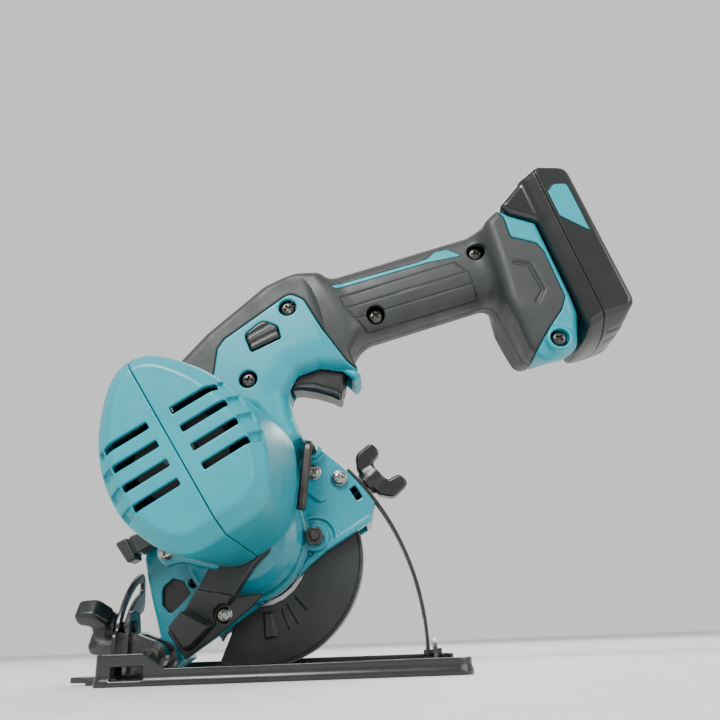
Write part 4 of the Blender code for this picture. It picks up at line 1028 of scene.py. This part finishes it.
def make_outside():
    mould("duct_shell", duct_field, (9.0, -17.5, -9.4), (66.0, -8.0, 26.0), 0.4, SAW, "duct", "saw_body",
          ["blower_duct"])
    mould("lock_lever", lever_field, (5.0, -5.0, 43.0), (33.5, 7.0, 56.0), 0.4, SAW, "duct",
          "spindle_lock", ["shaft_lock"])
    solid("wrench_bar", wrench_mesh(), SAW, "tool", "wrench", ["hex_wrench"], bevel=0.25)


# ---- screws and nut ----


def cross_recess(x, y, z, depth):
    """A cross-shaped driver recess at the head's face, which is at y = 0."""
    size = np.maximum(2.25 - 0.4 * y, 0.3)
    first = np.maximum(np.abs(x) - 0.5, np.abs(z) - size)
    second = np.maximum(np.abs(z) - 0.5, np.abs(x) - size)
    heart = np.hypot(x, z) - 1.05
    return np.maximum(np.minimum(np.minimum(first, second), heart), y - depth)


def screw_field(head, height, flange, shank, length):
    profile = [(0.0, 0.0), (head * 0.45, 0.05), (head * 0.75, 0.35), (head * 0.94, 1.0), (head, 1.7)]
    profile += [(flange, height - 0.5), (flange, height), (shank, height), (shank, height + length)]
    profile += [(0.0, height + length)]

    def field(x, y, z):
        shape = outline_distance(np.hypot(x, z), y, profile)
        return without(shape, cross_recess(x, y, z, 1.7), 0.15)
    return field


def screw_piece(name, centre, seat, head, shank, length, look_name, nodes, flange=0.0, turn=0.0):
    height = 2.4
    place = SAW @ Matrix.Translation(Vector((centre[0], seat - height, centre[1])) * MM)
    place = place @ Matrix.Rotation(turn, 4, "Y")
    low = (-4.2, 0.0, -4.2)
    high = (4.2, height + length, 4.2)
    field = screw_field(head, height, max(flange, head), shank, length)
    mould(name, field, low, high, 0.22, place, look_name, "saw_body", nodes, keep=0.5, sharp=0.05)


def nut_field(x, y, z):
    angle = np.arctan2(z, x)
    radius = np.hypot(x, z)
    sector = np.abs((angle + math.pi / 6) % (math.pi / 3) - math.pi / 6)
    flats = radius * np.cos(sector) - 4.1
    body = block(flats, y, 0.0, 5.4, 0.3)
    cone = (radius - 4.5) * 0.8 - y * 0.8 + 0.1
    body = larger(body, cone, 0.4)
    stud = block(radius - 2.0, y, -1.4, 9.0, 0.4)
    thread = 0.14 * np.cos(y * math.tau / 0.8 + angle)
    return joined(without(body, radius - 2.3), stud + thread * (y < 0), 0.3)


def make_screws():
    for number, (u, w, seat) in enumerate(HANDLE_SCREWS):
        screw_piece(f"handle_screw_head_{number + 1}", (u, w), seat, 3.7, 1.3, 9.0, "dark_screw",
                    [f"handle_screw_{number + 1}"], turn=0.7 * number)
    for number, centre in enumerate(CASE_SCREWS):
        screw_piece(f"case_screw_head_{number + 1}", centre, CASE_NEAR - 1.4, 3.4, 1.6, 4.0, "zinc",
                    [f"case_screw_{number + 1}"], flange=3.9, turn=0.5 + number)
    screw_piece("duct_screw_head", DUCT_SCREW, -10.5, 3.3, 1.5, 6.0, "zinc", ["duct_screw"],
                flange=3.6, turn=0.3)
    screw_piece("pod_screw_head", POD_SCREW, FLANGE_NEAR - 0.2, 3.6, 1.6, 3.0, "zinc", [],
                flange=3.9, turn=0.9)
    place = SAW @ Matrix.Translation(Vector((STUD[0], 0.9, STUD[1])) * MM)
    mould("stud_nut_hex", nut_field, (-4.9, -1.5, -4.9), (4.9, 9.2, 4.9), 0.25, place, "dark_screw",
          "saw_body", ["case_stud_nut"], keep=0.5, sharp=0.05)


# ---- lower guard, blade and flanges ----


def guard_field(u, y, w):
    radius = np.hypot(u - SPINDLE[0], w - SPINDLE[1])
    angle = np.degrees(np.arctan2(w - SPINDLE[1], u - SPINDLE[0])) % 360.0
    turn = (angle - 301.0 + 180.0) % 360.0 - 180.0
    ends = (np.abs(turn) - 84.0) * math.radians(1.0) * radius
    shape = block(radius - 50.0, y, GUARD_NEAR, GUARD_FAR, 1.0)
    rim = block(np.abs(radius - 49.2) - 0.8, y, GUARD_NEAR - 0.5, GUARD_NEAR + 2.0, 0.4)
    shape = joined(shape, rim, 0.4)
    ribs = np.full(np.broadcast(radius, y).shape, 9.0)
    for rib_angle, low, high in ((262.0, 27.0, 36.0), (269.5, 26.0, 36.0), (281.0, 25.0, 33.0)):
        way = math.radians(rib_angle)
        first = (SPINDLE[0] + low * math.cos(way), SPINDLE[1] + low * math.sin(way))
        second = (SPINDLE[0] + high * math.cos(way), SPINDLE[1] + high * math.sin(way))
        ribs = np.minimum(ribs, line_distance(u, w, (first, second)) - 0.35)
    shape = joined(shape, block(ribs, y, GUARD_NEAR - 0.6, GUARD_NEAR + 1.0, 0.2), 0.3)
    inner = block(radius - 48.4, y, GUARD_NEAR + 1.4, GUARD_FAR - 1.4, 0.4)
    shape = without(shape, inner)
    shape = without(shape, np.maximum(radius - 26.0, GUARD_FAR - 4.0 - y), 0.8)
    shape = larger(shape, ends, 0.8)
    collar = block(radius - 24.2, y, GUARD_NEAR, GUARD_NEAR + 1.4, 0.3)
    lug = block(np.maximum((np.abs(turn + 54.0) - 4.2) * 0.55, np.abs(radius - 31.6) - 5.6), y,
                GUARD_NEAR - 1.6, GUARD_NEAR + 1.0, 0.5)
    shape = joined(joined(shape, collar, 0.3), lug, 0.6)
    return without(shape, np.maximum(radius - 20.6, y - GUARD_NEAR - 6.0), 0.4)


def blade_mesh():
    """The blade's toothed outline with gullets and slots, as a flat disc round its bore."""
    outline = []
    count = 20
    slots = (2, 7, 12, 17)
    for i in range(count):
        base = 360.0 * i / count
        steps = [(0.0, 38.6), (2.0, 39.8), (8.5, 41.0), (13.2, 42.1), (13.9, 42.1), (14.4, 38.9)]
        steps += [(15.4, 37.4)]
        if i in slots:
            steps += [(15.9, 37.2), (16.05, 31.0), (16.5, 30.6), (16.95, 31.0), (17.1, 37.4)]
        else:
            steps += [(16.6, 37.2)]
        for turn, radius in steps:
            angle = math.radians(base + turn)
            outline.append((radius * math.cos(angle), radius * math.sin(angle)))
    rows = []
    bm = bmesh.new()
    for y in (-0.5, 0.5):
        outer_row = [bm.verts.new((x, y, z)) for x, z in outline]
        hole_row = []
        for x, z in outline:
            length = math.hypot(x, z)
            hole_row.append(bm.verts.new((x / length * 5.3, y, z / length * 5.3)))
        rows.append((outer_row, hole_row))
    (outer_a, hole_a), (outer_b, hole_b) = rows
    total = len(outline)
    for i in range(total):
        j = (i + 1) % total
        bm.faces.new((outer_a[i], outer_a[j], hole_a[j], hole_a[i]))
        bm.faces.new((outer_b[j], outer_b[i], hole_b[i], hole_b[j]))
        bm.faces.new((outer_a[j], outer_a[i], outer_b[i], outer_b[j]))
        bm.faces.new((hole_a[i], hole_a[j], hole_b[j], hole_b[i]))
    return bm


def tips_mesh():
    """The hard tips brazed to the blade's teeth."""
    bm = bmesh.new()
    for i in range(20):
        start = math.radians(18.0 * i + 12.2)
        end = math.radians(18.0 * i + 14.1)
        rows = []
        for y in (-0.75, 0.75):
            row = []
            for angle, radius in ((start, 40.2), (start, 42.35), (end, 42.4), (end, 39.6)):
                row.append(bm.verts.new((radius * math.cos(angle), y, radius * math.sin(angle))))
            rows.append(row)
        for a in range(4):
            b = (a + 1) % 4
            bm.faces.new((rows[0][a], rows[0][b], rows[1][b], rows[1][a]))
        bm.faces.new(rows[0])
        bm.faces.new(list(reversed(rows[1])))
    return bm


def flange_field(profile):
    def field(x, y, z):
        return outline_distance(np.hypot(x, z), y, profile) - 0.1
    return field


def make_blade():
    mould("guard_shell", guard_field, (8.0, 13.0, -36.5), (110.5, 32.0, 37.5), 0.6, SAW, "guard", "guard",
          ["lower_guard"])
    middle = SAW @ Matrix.Translation(Vector((SPINDLE[0], BLADE_Y, SPINDLE[1])) * MM)
    solid("blade_disc", blade_mesh(), middle, "steel", "spindle_set", ["blade"], bevel=0.08, segments=1)
    solid("blade_tips", tips_mesh(), middle, "machined", "spindle_set", [], bevel=0.08, segments=1)
    axis = SAW @ Matrix.Translation(Vector((SPINDLE[0], 0.0, SPINDLE[1])) * MM)
    outer = [(5.4, 24.9), (13.6, 24.9), (13.9, 25.4), (13.6, 26.0), (10.8, 27.7), (5.4, 27.7)]
    mould("outer_flange_ring", flange_field(outer), (-14.2, 24.6, -14.2), (14.2, 28.0, 14.2), 0.35, axis,
          "machined", "spindle_set", ["outer_flange"], keep=0.4)

    def bolt_field(x, y, z):
        washer = [(0, 28.2), (7.7, 28.2), (7.9, 28.6), (7.7, 29.1), (4.8, 29.3), (4.9, 33.0)]
        washer += [(4.4, 33.3), (0, 33.3)]
        shape = outline_distance(np.hypot(x, z), y, washer)
        angle = np.arctan2(z, x)
        sector = np.abs((angle + math.pi / 6) % (math.pi / 3) - math.pi / 6)
        socket = np.maximum(np.hypot(x, z) * np.cos(sector) - 2.5, 30.2 - y)
        return without(shape, socket, 0.2)
    mould("blade_bolt_head", bolt_field, (-8.1, 28.0, -8.1), (8.1, 33.5, 8.1), 0.3, axis, "tool",
          "spindle_set", ["blade_bolt"], keep=0.4)


# ---- base, brackets, guide and knobs ----

BASE_PLAN = rounded([
    (-74.0, -48.0, 3), (74.0, -48.0, 7), (74.0, 52.0, 7), (-74.0, 52.0, 4), (-74.0, 32.0, 0),
    (-86.0, 30.0, 3), (-86.0, -26.0, 3), (-74.0, -28.0, 0),
], 8)
OPENING = [(-54.0, 5.0), (56.5, 5.0), (56.5, 41.0), (-54.0, 41.0)]


def base_field(x, y, z):
    plan = outline_distance(x, y, BASE_PLAN)
    shape = block(plan, z, 0.0, 2.0, 0.6)
    wall = np.abs(plan + 1.0) - 0.9
    near_top = 6.4 + 5.6 * np.clip((-46.0 - x) / 9.0, 0.0, 1.0) * (y < 0.0)
    side = np.minimum(np.abs(y + 48.0), np.abs(y - 52.0)) - 7.5
    front = np.where((y < 0.0) & (x < -60.0), y + 30.0, side)
    corner = np.where((y > 0.0) & (x < -66.0), -72.2 - x, -9.0)
    wall = np.maximum(np.maximum(wall, np.minimum(side, front)), corner)
    flange = block(wall, z, 0.4, near_top, 0.5)
    shape = joined(shape, flange, 2.2)
    shape = without(shape, np.maximum(outline_distance(x, y, OPENING), np.abs(z) - 9.0), 0.7)
    notch = np.maximum(bar(x, z, (-66.9, 2.9), (-55.1, 6.7)) - 0.5, y + 40.0)
    shape = without(shape, notch, 0.7)
    sight = block(outline_distance(x, y, SIGHT), z, 1.0, 3.4, 0.4)
    return joined(shape, sight, 0.5)


SIGHT = rounded([
    (-94.2, -21.4, 0.6), (-87.0, -24.5, 1), (-80.0, -24.5, 1), (-80.0, -16.0, 1), (-87.0, -18.0, 1),
])


def guide_field(x, y, z):
    """The arc strip round the depth pivot, which is at x = z = 0."""
    radius = np.hypot(x, z)
    angle = np.degrees(np.arctan2(z, x))
    aside = np.abs(y - KNOB_SEAT.y)
    length = (np.abs(angle - 21.8) - 23.2) * math.radians(1.0) * 122.0
    strip = block(np.maximum(aside - 4.5, length), radius, 121.3, 122.9, 0.3)
    rise = z + PIVOT.z / MM - TILT[1]
    ear = block(np.hypot(y - TILT[0], rise) - 4.4, x, 121.2, 122.8, 0.3)
    slot = np.maximum(aside - 2.8, (np.abs(angle - 24.25) - 18.0) * math.radians(1.0) * 122.0)
    shape = without(joined(strip, ear, 0.6), slot, 0.4)
    return without(shape, np.hypot(y - TILT[0], rise) - 2.1, 0.2)


def knob_field(stud_from, seat, length):
    """A two-winged knob along x from its stud, with its wings across z."""
    wing_outlines = []
    for side in (-1, 1):
        wing_outlines.append(rounded([
            (seat + 1.2, side * 1.0, 0), (seat + 1.4, side * 8.6, 2), (seat + 6.0, side * 15.0, 5),
            (seat + length, side * 14.4, 3), (seat + length - 0.4, side * 7.2, 3.5),
            (seat + 9.6, side * 6.2, 5), (seat + 9.0, side * 1.0, 0),
        ]))
    hub_profile = [
        (stud_from, 0.0), (stud_from, 2.3), (seat, 2.3), (seat, 6.0), (seat + 4.0, 6.3),
        (seat + 9.0, 5.6), (seat + 9.6, 0.0),
    ]

    def field(x, y, z):
        shape = outline_distance(x, np.hypot(y, z), hub_profile)
        for outline in wing_outlines:
            shape = joined(shape, block(outline_distance(x, z, outline), y, -4.4, 4.4, 1.7), 2.0)
        cap = np.maximum(np.hypot(y, z) - 2.6, np.abs(x - seat - 10.0) - 1.6)
        return without(shape, cap, 0.5)
    return field


def make_knobs():
    seat = 122.9 + 0.8
    place = SAW @ Matrix.Rotation(-KNOB_ANGLE, 4, "Y") @ Matrix.Translation(Vector((0, KNOB_SEAT.y, 0)) * MM)
    mould("depth_wing_knob", knob_field(112.0, seat, 17.0), (112.0, -6.6, -15.2), (141.0, 6.6, 15.2),
          0.4, place, "black", "depth_clamp", ["depth_knob"])
    spot = Vector(JOINTS["bevel_knob_turn"]["pos_m"])
    lean = Matrix.Rotation(BEVEL_KNOB_LEAN, 4, "X")
    flip = Matrix.Rotation(math.pi, 4, "Z")
    upright = Matrix.Rotation(math.pi / 2, 4, "X")
    place = Matrix.Translation(spot) @ lean @ flip @ upright
    mould("bevel_wing_knob", knob_field(-8.5, 0.0, 15.5), (-8.5, -6.6, -15.2), (15.8, 6.6, 15.2), 0.4, place,
          "black", "bevel_clamp", ["bevel_knob"])


QUADRANT_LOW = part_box("bevel_quadrant")[1].x / MM - 1.8


def quadrant_field(x, y, z):
    radius = np.hypot(y - TILT[0], z - TILT[1])
    angle = np.degrees(np.arctan2(z - TILT[1], y - TILT[0]))
    arc_length = (np.abs(angle - 130.4) - 32.0) * math.radians(1.0) * 35.8
    across = np.abs(radius - 33.0) - 9.2
    band = np.hypot(np.maximum(arc_length + 5.0, 0.0), np.maximum(across + 5.0, 0.0)) - 5.0
    slot_length = (np.abs(angle - 130.9) - 22.7) * math.radians(1.0) * 35.8
    slot = np.hypot(np.maximum(slot_length, 0.0), radius - 35.8) - 2.7
    web = outline_distance(y, z, WEB)
    low = QUADRANT_LOW
    plate = block(joined(np.maximum(band, 2.3 - z), web, 3.0), x, low, low + 1.8, 0.4)
    tongue = np.maximum(np.maximum(np.abs(y - 7.0) - 20.0, -84.0 - x), x - low - 1.0)
    tongue = block(tongue, z, 2.3, 4.1, 0.4)
    shape = joined(plate, tongue, 1.2)
    shape = without(shape, slot, 0.4)
    return without(shape, np.hypot(y - TILT[0], z - TILT[1]) - 2.1, 0.3)


WEB = rounded([
    (-21.0, 2.3, 0), (28.0, 2.3, 0), (27.0, 9.0, 4), (21.0, 12.0, 4), (-2.0, 8.0, 6), (-8.0, 19.0, 3),
    (-20.0, 21.0, 3),
])


def make_base():
    mould("sole_plate", base_field, tuple(SOLE_LOW), tuple(SOLE_HIGH), 0.55, ROW, "sheet", "base",
          ["base_plate"], keep=0.3)
    mould("quadrant_plate", quadrant_field, (-84.2, -21.5, 2.2), (-76.0, 28.5, 49.6), 0.4, ROW, "sheet",
          "base", ["bevel_quadrant"], keep=0.3)
    at_pivot = Matrix.Translation((PIVOT.x, 0.0, PIVOT.z))
    mould("guide_strip", guide_field, (84.0, 17.3, -7.6), (123.2, 26.7, 88.0), 0.35, at_pivot, "sheet",
          "tilt_frame", ["depth_guide"], keep=0.4)


# ---- carried-over CAD nodes ----


def dress_nodes():
    slots = {row["node"]: row["material_slot"] for row in frame["record"]["subparts"]}
    finishes = {
        "teal_plastic": "pod", "teal_paint": "paint", "elastomer": "skin", "black_plastic": "black",
        "guard_plastic": "guard", "black_steel": "sheet", "black_screw": "dark_screw",
        "zinc_screw": "zinc", "bright_steel": "steel", "tool_steel": "tool", "motor_steel": "machined",
        "lamination": "stack", "copper": "copper", "cell_wrap": "wrap",
    }
    for name, made in frame["nodes"].items():
        made.data.materials.clear()
        made.data.materials.append(LOOKS[finishes[slots[name]]])


def soften_nodes(*names):
    for name in names:
        soften(frame["nodes"][name], 0.3)


# ---- stage ----


def emission_world():
    world = bpy.data.worlds.new("studio")
    bpy.context.scene.world = world
    world.use_nodes = True
    shade = world.node_tree.nodes["Background"]
    shade.inputs["Color"].default_value = (0.86, 0.86, 0.85, 1.0)
    shade.inputs["Strength"].default_value = 1.0


def softbox(name, place, aim, size, power):
    lamp = bpy.data.lights.new(name, "AREA")
    lamp.shape = "DISK"
    lamp.size = size
    lamp.energy = power
    made = bpy.data.objects.new(name, lamp)
    bpy.context.scene.collection.objects.link(made)
    made.location = place
    made.rotation_euler = (Vector(aim) - Vector(place)).to_track_quat("-Z", "Y").to_euler()


def make_stage():
    data = bpy.data.meshes.new("floor")
    reach = 4.0
    data.from_pydata(
        [(-reach, -reach, 0), (reach, -reach, 0), (reach, reach, 0), (-reach, reach, 0)], [], [(0, 1, 2, 3)],
    )
    floor = bpy.data.objects.new("floor", data)
    bpy.context.scene.collection.objects.link(floor)
    pale = look("pale_floor", (0.72, 0.71, 0.69), 0.6, grain=300.0, depth=0.02, tone=0.02)
    floor.data.materials.append(pale)
    emission_world()
    centre = (0.03, 0.0, 0.12)
    softbox("key", (-0.3, -0.9, 1.0), centre, 0.6, 22.0)
    softbox("fill", (0.9, -0.7, 0.45), centre, 0.8, 5.0)
    softbox("back", (0.2, 0.9, 0.9), centre, 0.8, 10.0)


def make_camera():
    """A low camera that looks up at the motor side, as the photograph was taken."""
    camera = bpy.data.cameras.new("camera")
    made = bpy.data.objects.new("camera", camera)
    bpy.context.scene.collection.objects.link(made)
    camera.sensor_width = 36.0
    camera.lens = 36.1
    camera.clip_start = 0.01
    right = Vector((0.99875, 0.03613, -0.03462))
    up = Vector((0.04535, -0.36134, 0.93133))
    back = right.cross(up).normalized()
    up = back.cross(right).normalized()
    turn = Matrix((right, up, back)).transposed()
    made.matrix_world = Matrix.Translation((0.0413, -0.350, 0.0135)) @ turn.to_4x4()
    bpy.context.scene.camera = made


def main():
    dress_nodes()
    make_pod()
    make_handle()
    make_controls()
    make_battery()
    make_case()
    make_outside()
    make_screws()
    make_blade()
    make_base()
    make_knobs()
    soften_nodes("front_tilt_bracket", "rear_tilt_bracket", "front_tilt_pin", "rear_tilt_pin")
    make_stage()
    make_camera()


main()
